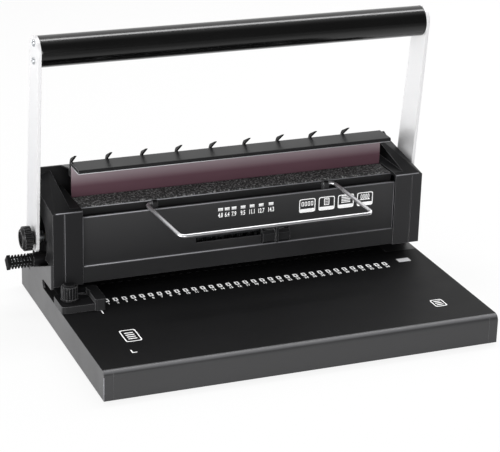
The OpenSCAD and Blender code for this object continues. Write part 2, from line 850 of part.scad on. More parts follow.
module jaw_plate() {
    color("#6b5a60") union() {
        block(-jaw_x, jaw_x, jaw_y, jaw_back, jaw_low_z, jaw_bar_z0);
        block(-jaw_gear_x1, jaw_gear_x1, jaw_y, jaw_back, ear_z0, ear_z1);
    }
}

module jaw_bar() {
    nose_r = jaw_bar_t / 2;
    color("#454546") across(-jaw_x, jaw_x) union() {
        translate([jaw_back - jaw_bar_d + nose_r, jaw_bar_z0]) square([jaw_bar_d - nose_r, jaw_bar_t]);
        translate([jaw_back - jaw_bar_d + nose_r, jaw_bar_z0 + nose_r]) circle(nose_r);
    }
}

rail_y0 = jaw_back + 2;
rail_y1 = jaw_back + 7;
rail_z0 = roof_z - 7;

module hook_rail() {
    color("#1a1a1a") block(-cover_x, cover_x, rail_y0, rail_y1, rail_z0, roof_z);
}

hook_first_x = 1 - cover_x;
hook_sheet = 2;
hook_wide = 3;
hook_root_y = rail_y0 + 1.5;

// Hook seen from the side: a stem on the rail that bends forward and rises to a narrow tip
module hook_outline() {
    stem = 3;
    bend = 58;
    tip_len = 13;
    tip_wide = 0.6;
    lap = 0.3;
    square([hook_wide, stem]);
    translate([hook_wide / 2 - hook_r, stem]) {
        intersection() {
            difference() {
                circle(hook_r + hook_wide / 2);
                circle(hook_r - hook_wide / 2);
            }
            polygon([[0, 0], [3 * hook_r, 0], [3 * hook_r, 3 * hook_r], 3 * hook_r * [cos(bend), sin(bend)]]);
        }
        rotate(bend) polygon([[hook_r - hook_wide / 2, -lap], [hook_r + hook_wide / 2, -lap],
            [hook_r + tip_wide / 2, tip_len], [hook_r - tip_wide / 2, tip_len]]);
    }
}

module wire_hooks() {
    color("#121212") for (i = [0:hook_count - 1]) {
        x = hook_first_x + i * hook_step;
        across(x, x + hook_sheet) translate([hook_root_y, roof_z]) hook_outline();
    }
}

// Document rest: a rod bent in one plane, hinged on its inturned ends

bracket_r = 3;
rest_pivot_y = bed_y0 - bracket_r;
rest_pivot_z = bed_z - 2;
rest_end_x = rest_pivot_x - 11;
bracket_w = 5;

function heading(a, b) = atan2(b[1] - a[1], b[0] - a[0]);
function left_turn(p, i) = (heading(p[i], p[i + 1]) - heading(p[i - 1], p[i]) + 720) % 360;
function setback(p, i) = i == 0 || i == len(p) - 1 ? 0 : rest_bend * tan(left_turn(p, i) / 2);

// Rod along a path that only turns left, with a true arc at each corner. The straight runs are
// a hair thinner and lap a little way into the arcs.
rod_lap = 0.3;
rod_ease = 0.02;

module bent_rod(p, d) {
    for (i = [0:len(p) - 2]) {
        run_len = norm(p[i + 1] - p[i]) - setback(p, i) - setback(p, i + 1);
        h = heading(p[i], p[i + 1]);
        translate(p[i]) rotate(h) translate([setback(p, i), 0, 0]) {
            translate([-rod_lap, 0, 0]) rotate([0, 90, 0])
                cylinder(d = d - rod_ease, h = run_len + 2 * rod_lap);
            if (i < len(p) - 2) translate([run_len, rest_bend, 0]) rotate(-90)
                rotate_extrude(angle = left_turn(p, i + 1)) translate([rest_bend, 0]) circle(d = d);
        }
    }
}

module document_rest() {
    path = [[rest_end_x, 0], [rest_pivot_x, 0], [rest_set + rest_front_x, rest_reach],
        [rest_set - rest_front_x, rest_reach], [-rest_pivot_x, 0], [-rest_end_x, 0]];
    color("#d9dadc") translate([0, rest_pivot_y, rest_pivot_z]) rotate([180 + rest_slope, 0, 0])
        bent_rod(path, rest_d);
}

module rest_brackets() {
    eye = rest_d + 2 * run;
    z0 = bed_z - bed_lip;
    color("#1b1b1b") both_sides() difference() {
        union() {
            block(rest_end_x, rest_end_x + bracket_w, rest_pivot_y - bracket_r, bed_y0, z0, rest_pivot_z);
            bar_x(rest_end_x, rest_end_x + bracket_w, rest_pivot_y, rest_pivot_z, 2 * bracket_r);
        }
        bar_x(rest_end_x - eps, rest_end_x + bracket_w + eps, rest_pivot_y, rest_pivot_z, eye);
    }
}

// Size selector: a finger block in front of the slot, with a retainer and a stepped stop behind it

slider_x0 = slot_x0 + slot_len - slider_w - 0.2;
slider_x1 = slider_x0 + slider_w;
slider_y0 = cover_y - 5;
neck_inset = 5;
retainer_t = 2;
retainer_y0 = cover_y + cover_t + slip;
retainer_y1 = retainer_y0 + retainer_t;

module size_slider() {
    fin_x = slider_x0 + slider_w * 0.45;
    fin_w = 2.6;
    low_z = ledge_z + 1.2;
    color("#1a1a1a") union() {
        across(slider_x0, slider_x1) polygon([[cover_y - slip, low_z], [slider_y0 + 2, low_z],
            [slider_y0, low_z + 3], [slider_y0, slot_z - 1], [slider_y0 + 2, slot_z1 - 1], [cover_y - slip, slot_z1 - 1]]);
        block(fin_x, fin_x + fin_w, slider_y0 - 2, cover_y - slip, low_z + 1, slot_z1 + 5);
        block(slider_x0 + neck_inset, slider_x1 - neck_inset, cover_y - slip - eps, retainer_y0,
            slot_z0 + slip, slot_z1 - slip);
        block(slider_x0 + 1, slider_x1 - 1, retainer_y0, retainer_y1, slot_z0 - 4, slot_z1 + 4);
    }
}

stop_steps = 7;
stop_t = 3;

module size_stop() {
    width = slider_w - 2;
    step = width / stop_steps;
    rise = 1.6;
    color("#a8abae") translate([slider_x0 + 1, retainer_y1 + stop_t, slot_z0]) rotate([90, 0, 0])
        linear_extrude(stop_t) polygon(concat([[0, 0]], [for (i = [0:stop_steps - 1])
            each [[i * step, slot_h + 4 + i * rise], [(i + 1) * step, slot_h + 4 + i * rise]]], [[width, 0]]));
}

// Edge guide on the deck, with a screw knob that clamps it through a slot

guide_x0 = -half_w;
guide_x1 = guide_x0 + edge_guide_w;
guide_y0 = -8.5;
guide_y1 = guide_y0 + edge_guide_d;
guide_low = deck_z + slip;
fence_w = 10;
fence_y1 = tower_y - 6;
guide_lock_z = guide_low + edge_guide_h;

module edge_guide() {
    tongue_h = min(edge_guide_h, throat_h - 2.5);
    color("#161616") difference() {
        union() {
            translate([0, 0, guide_low]) linear_extrude(edge_guide_h)
                rounded_plan(guide_x0, guide_x1, guide_y0, fence_y1, 4);
            translate([0, 0, guide_low]) linear_extrude(tongue_h)
                rounded_plan(guide_x0 + 12, guide_x1, guide_y0, guide_y1, 3);
            translate([0, 0, guide_low]) linear_extrude(fence_h)
                rounded_plan(guide_x1 - fence_w, guide_x1, guide_y0 - 2, fence_y1, 2);
        }
        translate([lock_x, lock_y, guide_low - eps]) cylinder(d = lock_stud_d + 2 * run, h = fence_h);
        translate([guide_x1 - fence_w - 6, lock_y + 4, guide_low + edge_guide_h - 1.5])
            cylinder(r = 7, h = fence_h);
    }
}

clamp_plate_t = 3;
lock_z0 = guide_lock_z + slip;
lock_stud_z1 = lock_z0 + lock_h * 0.6;

// Plate under the deck, with a stud that rises through the slot and the guide into the knob
module guide_clamp_plate() {
    z1 = deck_under - slip;
    color("#8d9094") union() {
        translate([0, 0, z1 - clamp_plate_t]) linear_extrude(clamp_plate_t)
            rounded_plan(lock_x - lock_stud_d / 2 - 0.6, lock_x + 14, lock_y - 8, lock_y + 8, 2);
        translate([lock_x, lock_y, z1 - eps]) cylinder(d = lock_stud_d, h = lock_stud_z1 - z1 + eps);
    }
}

lock_ribs = 16;

module guide_lock_knob() {
    crown = 1.5;
    skirt = 1.6;
    color("#1d1d1d") translate([lock_x, lock_y, lock_z0]) difference() {
        union() {
            cylinder(d = lock_d + skirt, h = skirt);
            linear_extrude(lock_h - crown) difference() {
                circle(d = lock_d);
                for (i = [0:lock_ribs - 1]) rotate(i * 360 / lock_ribs) translate([lock_d / 2 + 0.3, 0])
                    circle(r = 0.9, $fn = 16);
            }
            translate([0, 0, lock_h - crown]) rotate_extrude() polygon([[0, 0], [lock_d / 2 - 1, 0],
                [lock_d / 2 - 1 - crown, crown], [0, crown]]);
        }
        translate([0, 0, -eps]) cylinder(d = lock_stud_d + 2 * run, h = lock_stud_z1 - lock_z0 + slip + eps);
    }
}

// Margin stop: a rod across the back of the throat with stepped fingers, turned by a ribbed grip

collar_x1 = arm_x1 + 0.7;
flange_w = 1.6;
margin_grip_x0 = -collar_x1 - slip - margin_grip_len;

module margin_rod() {
    color("#a8abae") bar_x(margin_grip_x0 + 4, column_x1, margin_y, margin_z, margin_d);
}

module margin_collar() {
    color("#151515") difference() {
        bar_x(-collar_x1, -column_x1, margin_y, margin_z, collar_d);
        bar_x(-collar_x1 - eps, -column_x1 + eps, margin_y, margin_z, margin_d + 2 * run);
    }
}

// Cross-section of the grip is a square on its corner, with thin ribs and a larger head
module margin_grip() {
    core = 7.2;
    rib = 10;
    head = 10.6;
    head_w = 3.2;
    rib_w = 1.5;
    x1 = -collar_x1 - slip;
    rib_step = (margin_grip_len - head_w - flange_w) / (margin_ribs + 0.5);
    color("#1b1b1b") difference() {
        translate([0, margin_y, margin_z]) rotate([45, 0, 0]) {
            block(margin_grip_x0, x1, -core / 2, core / 2, -core / 2, core / 2);
            block(margin_grip_x0, margin_grip_x0 + head_w, -head / 2, head / 2, -head / 2, head / 2);
            for (i = [1:margin_ribs]) translate([margin_grip_x0 + head_w + i * rib_step - rib_w, 0, 0])
                block(0, rib_w, -rib / 2, rib / 2, -rib / 2, rib / 2);
            bar_x(x1 - flange_w, x1, 0, 0, collar_d);
        }
        bar_x(margin_grip_x0 + 4 - run, x1 + eps, margin_y, margin_z, margin_d);
    }
}

finger_x = 90;
finger_w = 6;
finger_step = 2.4;

// Three steps of 30 degrees, the longest one towards the front of the throat
module finger_outline() {
    difference() {
        union() {
            circle(margin_d / 2 + 3);
            for (i = [0:2]) intersection() {
                circle(finger_r - i * finger_step);
                rotate(-120 + 30 * i) polygon([[0, 0], 2 * finger_r * [cos(15), -sin(15)],
                    2 * finger_r * [cos(15), sin(15)]]);
            }
        }
        circle(d = margin_d);
    }
}

module margin_fingers() {
    color("#b0b3b6") for (x = [-finger_x, finger_x]) across(x - finger_w / 2, x + finger_w / 2)
        translate([margin_y, margin_z]) finger_outline();
}

// Chip tray: an open box under the die, pulled out through the right side frame

tray_front_t = 2.5;
tray_x1 = half_w + slip;
tray_x0 = -shell_x + tray_room;

module chip_tray() {
    y0 = tray_y - tray_d / 2;
    y1 = tray_y + tray_d / 2;
    lip = 3;
    color("#303032") union() {
        difference() {
            block(tray_x0, tray_x1, y0, y1, tray_z0, tray_z1);
            block(tray_x0 + tray_wall, tray_x1 - tray_wall, y0 + tray_wall, y1 - tray_wall,
                tray_z0 + tray_wall, tray_z1 + eps);
        }
        block(tray_x1, tray_x1 + tray_front_t, y0 - lip, y1 + lip, tray_z0, tray_z1 + lip);
        block(tray_x1, tray_x1 + tray_front_t + 5, tray_y - 9, tray_y + 9, tray_z1 - 1, tray_z1 + lip);
    }
}

base_shell();
bottom_plate();
rubber_feet();
side_frame_left();
side_frame_right();
column_plate_left();
column_plate_right();
shaft_bushes();
rear_tie_bar();
upper_tie_bar();
die_plate();
pin_guide_plate();
front_cover();
rear_cover();
end_cap_left();
end_cap_right();
closer_bed();
bed_pad();
hook_rail();
wire_hooks();
rest_brackets();
margin_collar();
cover_screws();
main_shaft();
punch_gears();
jaw_gears();
lever_arm_left();
lever_arm_right();
handle_tube();
handle_plugs();
handle_screws();
clamp_knob_left();
clamp_knob_right();
punch_beam();
punch_pins();
punch_racks();
return_springs();
jaw_plate();
jaw_bar();
jaw_racks();
size_slider();
size_stop();
document_rest();
edge_guide();
guide_clamp_plate();
guide_lock_knob();
margin_rod();
margin_grip();
margin_fingers();
chip_tray();
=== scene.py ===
import math

import bpy
import numpy as np
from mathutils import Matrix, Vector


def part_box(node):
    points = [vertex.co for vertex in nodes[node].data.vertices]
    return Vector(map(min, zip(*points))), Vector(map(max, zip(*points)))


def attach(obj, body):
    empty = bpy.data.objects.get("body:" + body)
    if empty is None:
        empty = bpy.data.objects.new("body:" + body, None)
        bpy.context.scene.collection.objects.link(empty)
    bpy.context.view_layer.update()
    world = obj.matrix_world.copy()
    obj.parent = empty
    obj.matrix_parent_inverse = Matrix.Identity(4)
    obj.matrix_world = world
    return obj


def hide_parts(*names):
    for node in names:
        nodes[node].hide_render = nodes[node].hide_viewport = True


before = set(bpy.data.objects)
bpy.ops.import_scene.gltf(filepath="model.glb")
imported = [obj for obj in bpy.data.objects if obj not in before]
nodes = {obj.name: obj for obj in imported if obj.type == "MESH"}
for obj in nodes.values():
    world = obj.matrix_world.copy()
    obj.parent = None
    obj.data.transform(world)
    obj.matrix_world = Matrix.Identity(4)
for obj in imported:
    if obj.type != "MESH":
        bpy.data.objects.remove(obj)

scene = bpy.context.scene
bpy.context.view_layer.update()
mm = 0.001
print("frame loaded:", len(nodes), "nodes")


def hexToLinear(code):
    # sRGB to linear: c / 12.92 up to 0.04045, above it ((c + 0.055) / 1.055) to the power 2.4
    c = np.array([int(code[i:i + 2], 16) for i in (1, 3, 5)]) / 255
    return (*np.where(c <= 0.04045, c / 12.92, ((c + 0.055) / 1.055) ** 2.4).tolist(), 1.0)


def addNode(tree, kind, settings=None, links=None):
    # a setting goes to the socket of that name or number, or else to the node's own property
    node = tree.nodes.new(kind)
    for key, value in (settings or {}).items():
        if isinstance(key, int) or key in node.inputs:
            node.inputs[key].default_value = value
        else:
            setattr(node, key, value)
    for key, source in (links or {}).items():
        tree.links.new(source, node.inputs[key])
    return node


def startMaterial(name):
    # an empty material, its tree, and the Object coordinates that its patterns read
    mat = bpy.data.materials.new(name)
    mat.use_nodes = True
    tree = mat.node_tree
    tree.nodes.clear()
    return mat, tree, addNode(tree, "ShaderNodeTexCoord").outputs["Object"]


def meshObject(name, verts, faces, mat, smooth=True):
    mesh = bpy.data.meshes.new(name)
    mesh.from_pydata(verts, [], faces)
    mesh.polygons.foreach_set("use_smooth", np.full(len(mesh.polygons), smooth))
    mesh.validate()
    mesh.update()
    ob = bpy.data.objects.new(name, mesh)
    ob.data.materials.append(mat)
    scene.collection.objects.link(ob)
    return ob


def gridFaces(rows, cols, closeRows, closeCols, first=0):
    # quad (i, j) joins grid points (i, j), (i, j+1), (i+1, j+1) and (i+1, j), wrapping where the grid closes
    i, j = np.meshgrid(np.arange(rows if closeRows else rows - 1), np.arange(cols if closeCols else cols - 1),
                       indexing="ij")
    i2, j2 = (i + 1) % rows, (j + 1) % cols
    quads = np.stack([i * cols + j, i * cols + j2, i2 * cols + j2, i2 * cols + j], axis=-1)
    return quads.reshape(-1, 4) + first


def boxMm(name):
    # lowest and highest corner of a CAD node, in millimetres
    return [np.array(corner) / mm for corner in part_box(name)]


def dress(mat, *names):
    for name in names:
        for slot in nodes[name].material_slots:
            slot.material = mat


# Camera: fitted to the straight edges of the base, tower and handle
cameraLook = {"place": (-0.5979, -1.4607, 0.7090), "turnDeg": (68.53, -1.44, -21.53), "lens": 132.8,
              "sensor": 36.0}
camData = bpy.data.cameras.new("photoCamera")
camData.sensor_fit = "HORIZONTAL"
camData.sensor_width = cameraLook["sensor"]
camData.lens = cameraLook["lens"]
cam = bpy.data.objects.new("photoCamera", camData)
cam.location = cameraLook["place"]
cam.rotation_euler = [math.radians(a) for a in cameraLook["turnDeg"]]
scene.collection.objects.link(cam)
scene.camera = cam
scene.view_settings.view_transform = "Standard"

# Studio: large soft lamps, a white world and a white floor that keeps a pale shadow, with lengths in metres
studio = {
    "lamps": [  # name, place, target, size, watts
        ("leftSoftbox", (-2.8, -0.84, 0.60), (0, 0, 0.1), (1.9, 1.2), 66),
        ("frontSoftbox", (-0.6, -2.4, 0.55), (0, 0, 0.1), (1.4, 0.8), 24),
        ("topStrip", (0.45, 0.33, 1.7), (0.45, 0.1, 0.2), (2.2, 0.32), 18),
        ("rightRim", (1.5, 0.7, 0.9), (0.1, 0.05, 0.1), (0.9, 0.9), 8),
    ],
    "worldLight": 0.40,
    "worldFade": (-0.5, 0.3, 0.10),  # heading where it is darkest, heading where it is white, darkest share
    "floorTone": "#f4f4f4",
    "floorGlow": 0.86,
    "floorFade": (-0.6, 0.1, 0.15),  # place where it is darkest, place where it is white, darkest share
    "floorSize": 8.0,
}
white = (1, 1, 1, 1)


def aimLamp(name, place, target, size, watts):
    # a lamp shines along its own -Z, so it is tilted from the vertical and turned until that meets the target
    data = bpy.data.lights.new(name, "AREA")
    data.shape = "RECTANGLE"
    data.size, data.size_y = size
    data.energy = watts
    lamp = bpy.data.objects.new(name, data)
    away = np.array(place, float) - np.array(target, float)
    flat = math.hypot(away[0], away[1])
    lamp.location = place
    lamp.rotation_euler = (math.atan2(flat, away[2]), 0, math.atan2(away[1], away[0]) + math.pi / 2)
    scene.collection.objects.link(lamp)


def whiteWorld():
    # seen directly it is white; in reflections it is white behind the machine and falls off in front of it
    world = bpy.data.worlds.new("whiteStudio")
    world.use_nodes = True
    tree = world.node_tree
    tree.nodes.clear()
    rays = addNode(tree, "ShaderNodeLightPath").outputs
    way = addNode(tree, "ShaderNodeTexCoord").outputs["Generated"]
    heading = addNode(tree, "ShaderNodeSeparateXYZ", {}, {0: way})
    frontY, backY, frontShare = studio["worldFade"]
    graded = addNode(tree, "ShaderNodeMapRange",
                     {"From Min": frontY, "From Max": backY, "To Min": frontShare, "To Max": 1.0},
                     {"Value": heading.outputs["Y"]})
    direct = addNode(tree, "ShaderNodeMath", {"operation": "MAXIMUM"},
                     {0: rays["Is Camera Ray"], 1: rays["Is Transmission Ray"]})
    mirrored = addNode(tree, "ShaderNodeMix", {"data_type": "FLOAT", 2: studio["worldLight"]},
                       {0: rays["Is Glossy Ray"], 3: graded.outputs[0]})
    strength = addNode(tree, "ShaderNodeMix", {"data_type": "FLOAT", 3: 1.0},
                       {0: direct.outputs[0], 2: mirrored.outputs[0]})
    sky = addNode(tree, "ShaderNodeBackground", {"Color": white}, {"Strength": strength.outputs[0]})
    addNode(tree, "ShaderNodeOutputWorld", {}, {0: sky.outputs[0]})
    return world


def floorMaterial():
    # matt white card that also glows where it is seen, so that it stays white round a pale shadow
    mat, tree, at = startMaterial("matt white studio floor")
    rays = addNode(tree, "ShaderNodeLightPath").outputs
    seen = rays["Is Camera Ray"]
    for kind in ("Is Glossy Ray", "Is Transmission Ray"):
        seen = addNode(tree, "ShaderNodeMath", {"operation": "MAXIMUM"}, {0: seen, 1: rays[kind]}).outputs[0]
    share = addNode(tree, "ShaderNodeMath", {"operation": "MULTIPLY", 1: studio["floorGlow"]}, {0: seen})
    # in reflections the glow falls off in front of the machine, as the world does
    spot = addNode(tree, "ShaderNodeSeparateXYZ", {}, {0: at})
    nearY, farY, nearShare = studio["floorFade"]
    fade = addNode(tree, "ShaderNodeMapRange",
                   {"From Min": nearY, "From Max": farY, "To Min": nearShare, "To Max": 1.0},
                   {"Value": spot.outputs["Y"]})
    level = addNode(tree, "ShaderNodeMix", {"data_type": "FLOAT", 2: 1.0},
                    {0: rays["Is Glossy Ray"], 3: fade.outputs[0]})
    card = addNode(tree, "ShaderNodeBsdfDiffuse", {"Color": hexToLinear(studio["floorTone"])})
    glow = addNode(tree, "ShaderNodeEmission", {"Color": white}, {"Strength": level.outputs[0]})
    mix = addNode(tree, "ShaderNodeMixShader", {},
                  {0: share.outputs[0], 1: card.outputs[0], 2: glow.outputs[0]})
    addNode(tree, "ShaderNodeOutputMaterial", {}, {"Surface": mix.outputs[0]})
    return mat


for lampRow in studio["lamps"]:
    aimLamp(*lampRow)
scene.world = whiteWorld()
half = studio["floorSize"] / 2
floor = meshObject("studioFloor", [(-half, -half, 0), (half, -half, 0), (half, half, 0), (-half, half, 0)],
                   [(0, 1, 2, 3)], floorMaterial(), False)
print("camera and studio set")

# Finishes
finish = {
    "noise": (0.3, 0.7),    # stretch of a noise that moves the roughness from its low to its high value
    "wearAndHighlight": (0.985, 0.80),  # eased normal against true normal, where the edge tone (edge wear and painted highlight) starts and where it is full
}
towardsLeft = (-1, 0, 0)
towardsFront = (0, -1, 0)
towardsFrontFold = (0, -0.55, 0.835)


def wornAndLitTones(tree, at, look, cloudDetail):
    # cloudy tone, painted light and shade by height and facing, and edges partly worn and partly painted
    # highlight
    cloud = addNode(tree, "ShaderNodeTexNoise",
                    {"Scale": 1 / (look["cloudMm"] * mm), "Detail": cloudDetail}, {"Vector": at})
    tone = addNode(tree, "ShaderNodeMix",
                   {"data_type": "RGBA", 6: hexToLinear(look["dark"]), 7: hexToLinear(look["light"])},
                   {0: cloud.outputs[0]})
    eased = addNode(tree, "ShaderNodeBevel", {"samples": 6, "Radius": look["edgeMm"] * mm})
    normal = addNode(tree, "ShaderNodeNewGeometry").outputs["Normal"]
    layers = []
    # painted light and shade by height: the tone changes from the base tone to the fade tone
    if "fade" in look:
        lowMm, highMm, code = look["fade"]
        height = addNode(tree, "ShaderNodeSeparateXYZ", {}, {0: at})
        rise = addNode(tree, "ShaderNodeMapRange", {"From Min": lowMm * mm, "From Max": highMm * mm},
                       {"Value": height.outputs["Z"]})
        layers.append((rise, code))
    # faces that look one way get a painted tone: painted light where it is paler, painted shade where it is
    # darker
    for way, least, full, code in look.get("paintedLight", []):  # none below the least dot product, all at the full
        turn = addNode(tree, "ShaderNodeVectorMath", {"operation": "DOT_PRODUCT", 1: way}, {0: normal})
        share = addNode(tree, "ShaderNodeMapRange", {"From Min": least, "From Max": full},
                        {"Value": turn.outputs["Value"]})
        layers.append((share, code))
    facing = addNode(tree, "ShaderNodeVectorMath", {"operation": "DOT_PRODUCT"},
                     {0: eased.outputs["Normal"], 1: normal})
    edgeStart, edgeFull = finish["wearAndHighlight"]
    edge = addNode(tree, "ShaderNodeMapRange",
                   {"From Min": edgeStart, "From Max": edgeFull, "To Max": look["wearAndHighlight"]},
                   {"Value": facing.outputs["Value"]})
    # the edge tone is partly edge wear and partly painted highlight
    layers.append((edge, look["edge"]))
    for share, code in layers:
        tone = addNode(tree, "ShaderNodeMix", {"data_type": "RGBA", 7: hexToLinear(code)},
                       {0: share.outputs[0], 6: tone.outputs[2]})
    return tone, cloud, eased


def closeSurface(tree, look, settings, tone, sheen, relief, eased):
    # what coats, mouldings and metals end in: roughness from a noise, relief on eased edges, and the shader
    lowNoise, highNoise = finish["noise"]
    lowRough, highRough = look["rough"]
    rough = addNode(tree, "ShaderNodeMapRange",
                    {"From Min": lowNoise, "From Max": highNoise, "To Min": lowRough, "To Max": highRough},
                    {"Value": sheen.outputs[0]})
    bump = addNode(tree, "ShaderNodeBump", {"Strength": look["strength"], "Distance": look["depthMm"] * mm},
                   {"Height": relief, "Normal": eased.outputs["Normal"]})
    skin = addNode(tree, "ShaderNodeBsdfPrincipled", settings,
                   {"Base Color": tone.outputs[2], "Roughness": rough.outputs[0], "Normal": bump.outputs[0]})
    addNode(tree, "ShaderNodeOutputMaterial", {}, {"Surface": skin.outputs[0]})


def coatedSheet(name, look):
    # powder coat or lacquer: a faint orange peel, cloudy gloss, and a paler line on edges, partly thinned
    # paint and partly painted highlight
    mat, tree, at = startMaterial(name)
    peel = addNode(tree, "ShaderNodeTexNoise", {"Scale": 1 / (look["peelMm"] * mm), "Detail": 2.0},
                   {"Vector": at})
    tone, cloud, eased = wornAndLitTones(tree, at, look, cloudDetail=4.0)
    settings = {"Metallic": look.get("metal", 0.0), "Specular IOR Level": look["gloss"]}
    closeSurface(tree, look, settings, tone, cloud, peel.outputs[0], eased)
    return mat


def mouldedPart(name, look):
    # moulded plastic or rubber: a spark-eroded grain, drawn coarser than the real 0.1 mm so that it shows
    mat, tree, at = startMaterial(name)
    grain = addNode(tree, "ShaderNodeTexVoronoi", {"Scale": 1 / (look["grainMm"] * mm)}, {"Vector": at})
    tone, cloud, eased = wornAndLitTones(tree, at, look, cloudDetail=3.0)
    settings = {"IOR": look["ior"], "Specular IOR Level": look["gloss"]}
    closeSurface(tree, look, settings, tone, cloud, grain.outputs["Distance"], eased)
    return mat


def workedMetal(name, look):
    # ground, turned or drawn metal: fine streaks along one axis move the gloss, and stains move the tone
    mat, tree, at = startMaterial(name)
    stretch = addNode(tree, "ShaderNodeMapping", {"Scale": look["stretch"]}, {"Vector": at})
    streak = addNode(tree, "ShaderNodeTexNoise", {"Scale": 1 / (look["streakMm"] * mm), "Detail": 3.0},
                     {"Vector": stretch.outputs[0]})
    stain = addNode(tree, "ShaderNodeTexNoise", {"Scale": 1 / (look["stainMm"] * mm), "Detail": 3.0},
                    {"Vector": at})
    tone = addNode(tree, "ShaderNodeMix",
                   {"data_type": "RGBA", 6: hexToLinear(look["dark"]), 7: hexToLinear(look["light"])},
                   {0: stain.outputs[0]})
    eased = addNode(tree, "ShaderNodeBevel", {"samples": 4, "Radius": look["edgeMm"] * mm})
    closeSurface(tree, look, {"Metallic": 1.0}, tone, streak, streak.outputs[0], eased)
    return mat


# Satin black powder coat on folded steel: dark, with a soft sheen and pale folds, partly worn paint and
# partly painted highlight
powderLook = {"dark": "#161617", "light": "#1f1f20", "edge": "#5c5c5e", "wearAndHighlight": 0.55, "peelMm": 2.2,
              "depthMm": 0.05, "strength": 0.16, "cloudMm": 45, "edgeMm": 0.7, "rough": (0.36, 0.46),
              "gloss": 0.42}
blackCoat = coatedSheet("satin black powder coat", powderLook)
# The same coat on the base, with painted light: paler on faces that look left and to the front, and a painted
# highlight on the front fold
baseCoat = coatedSheet("black powder coat with painted light", {
    **powderLook, "edge": "#6a6a6c",
    "paintedLight": [(towardsLeft, 0.5, 0.9, "#4b4b4c"), (towardsFront, 0.7, 0.98, "#3a3a3b"),
               (towardsFrontFold, 0.90, 0.998, "#5e5e60")]})
# Matt vinyl sheet on the deck: deep black with a fine pressed grain
deckVinyl = coatedSheet("matt black embossed vinyl", {
    "dark": "#0d0d0e", "light": "#121213", "edge": "#2a2a2b", "wearAndHighlight": 0.3, "peelMm": 1.1, "depthMm": 0.05,
    "strength": 0.22, "cloudMm": 60, "edgeMm": 0.2, "rough": (0.46, 0.56), "gloss": 0.10})
# Satin lacquer of the front cover: even, slightly paler than the deck, with painted light towards its upper
# edge and pale edges, partly wear and partly painted highlight
coverCoat = coatedSheet("satin charcoal lacquer", {
    "dark": "#242425", "light": "#2b2b2c", "edge": "#808082", "wearAndHighlight": 0.5, "peelMm": 1.8, "depthMm": 0.03,
    "strength": 0.12, "cloudMm": 60, "edgeMm": 0.6, "rough": (0.38, 0.46), "gloss": 0.28,
    "fade": (60, 104, "#373738")})
# Pale lacquer of the fold lines: a painted highlight, the pale line that the eye takes for the sheet's edge
foldHighlightFinish = {"dark": "#7a7a7e", "light": "#8e8e92", "edge": "#a4a4a6", "wearAndHighlight": 0.3, "peelMm": 2.5,
              "depthMm": 0.02, "strength": 0.10, "cloudMm": 18, "edgeMm": 0.1, "rough": (0.32, 0.42),
              "gloss": 0.4}
foldHighlightCoat = coatedSheet("pale lacquer of the painted highlight lines", foldHighlightFinish)
# Pale paint of the pressing bar's lower corner lines: a painted highlight, almost as pale as bare steel
barHighlightCoat = coatedSheet("pale paint of the bar's painted highlight lines", {
    **foldHighlightFinish, "dark": "#b2b2b6", "light": "#c0c0c4", "edge": "#d8d8da", "rough": (0.30, 0.40),
    "gloss": 0.5})
# Grey satin paint of the pressing bar, with a bright line at its corners, partly worn paint and partly
# painted highlight
barCoat = coatedSheet("satin grey bar paint", {
    "dark": "#1c1c1d", "light": "#232324", "edge": "#b4b4b6", "wearAndHighlight": 0.8, "peelMm": 1.6, "depthMm": 0.03,
    "strength": 0.12, "cloudMm": 50, "edgeMm": 0.5, "rough": (0.34, 0.42), "gloss": 0.20})
# Maroon lacquer over polished steel: smooth, paler towards the upper edge by a painted reflection
maroonCoat = coatedSheet("maroon lacquer on polished steel", {
    "dark": "#583d46", "light": "#60444e", "edge": "#8a7d82", "wearAndHighlight": 0.5, "peelMm": 3.0, "depthMm": 0.02,
    "strength": 0.06, "cloudMm": 80, "edgeMm": 0.4, "rough": (0.40, 0.46), "metal": 0.15, "gloss": 0.3,
    "fade": (121, 141.5, "#b2a6ab")})
# Gloss black enamel of the handle tube: long soft reflections along its length
tubeCoat = coatedSheet("gloss black stove enamel", {
    "dark": "#040404", "light": "#070707", "edge": "#202020", "wearAndHighlight": 0.3, "peelMm": 3.5, "depthMm": 0.02,
    "strength": 0.01, "cloudMm": 70, "edgeMm": 0.1, "rough": (0.16, 0.20), "gloss": 0.65})
# Pale silver lacquer on the flat steel arms: nearly white, with a slight sheen
silverLook = {"dark": "#e2e2e3", "light": "#ececed", "edge": "#f8f8f8", "wearAndHighlight": 0.4, "peelMm": 1.8,
              "depthMm": 0.02, "strength": 0.08, "cloudMm": 60, "edgeMm": 0.5, "rough": (0.30, 0.38),
              "metal": 0.2, "gloss": 0.5}
armCoat = coatedSheet("pale silver lacquer", silverLook)
# The same lacquer on the left arm, darker by painted shade and more so towards the foot, with painted light
# on faces that look to the front
leftArmCoat = coatedSheet("pale silver lacquer with painted shade", {
    **silverLook, "dark": "#c0c0c2", "light": "#c8c8ca", "edge": "#eeeeee", "fade": (110, 240, "#dadadb"),
    "paintedLight": [(towardsFront, 0.7, 0.98, "#ececed")]})
# Black oxide on the pressed hooks, the die, the columns and the size stop: thin, dark and a little dull
hookCoat = coatedSheet("black oxide", {
    "dark": "#0b0b0c", "light": "#111112", "edge": "#303032", "wearAndHighlight": 0.3, "peelMm": 0.9, "depthMm": 0.02,
    "strength": 0.15, "cloudMm": 12, "edgeMm": 0.2, "rough": (0.40, 0.50), "gloss": 0.2})
# Nickel plate on the bent rod: a soft mirror with faint drawing lines
rodNickel = workedMetal("satin nickel plate", {
    "dark": "#d2d2d4", "light": "#e2e2e4", "stretch": (0.05, 1, 1), "streakMm": 1.5, "stainMm": 25,
    "rough": (0.30, 0.38), "strength": 0.03, "depthMm": 0.01, "edgeMm": 0.05})
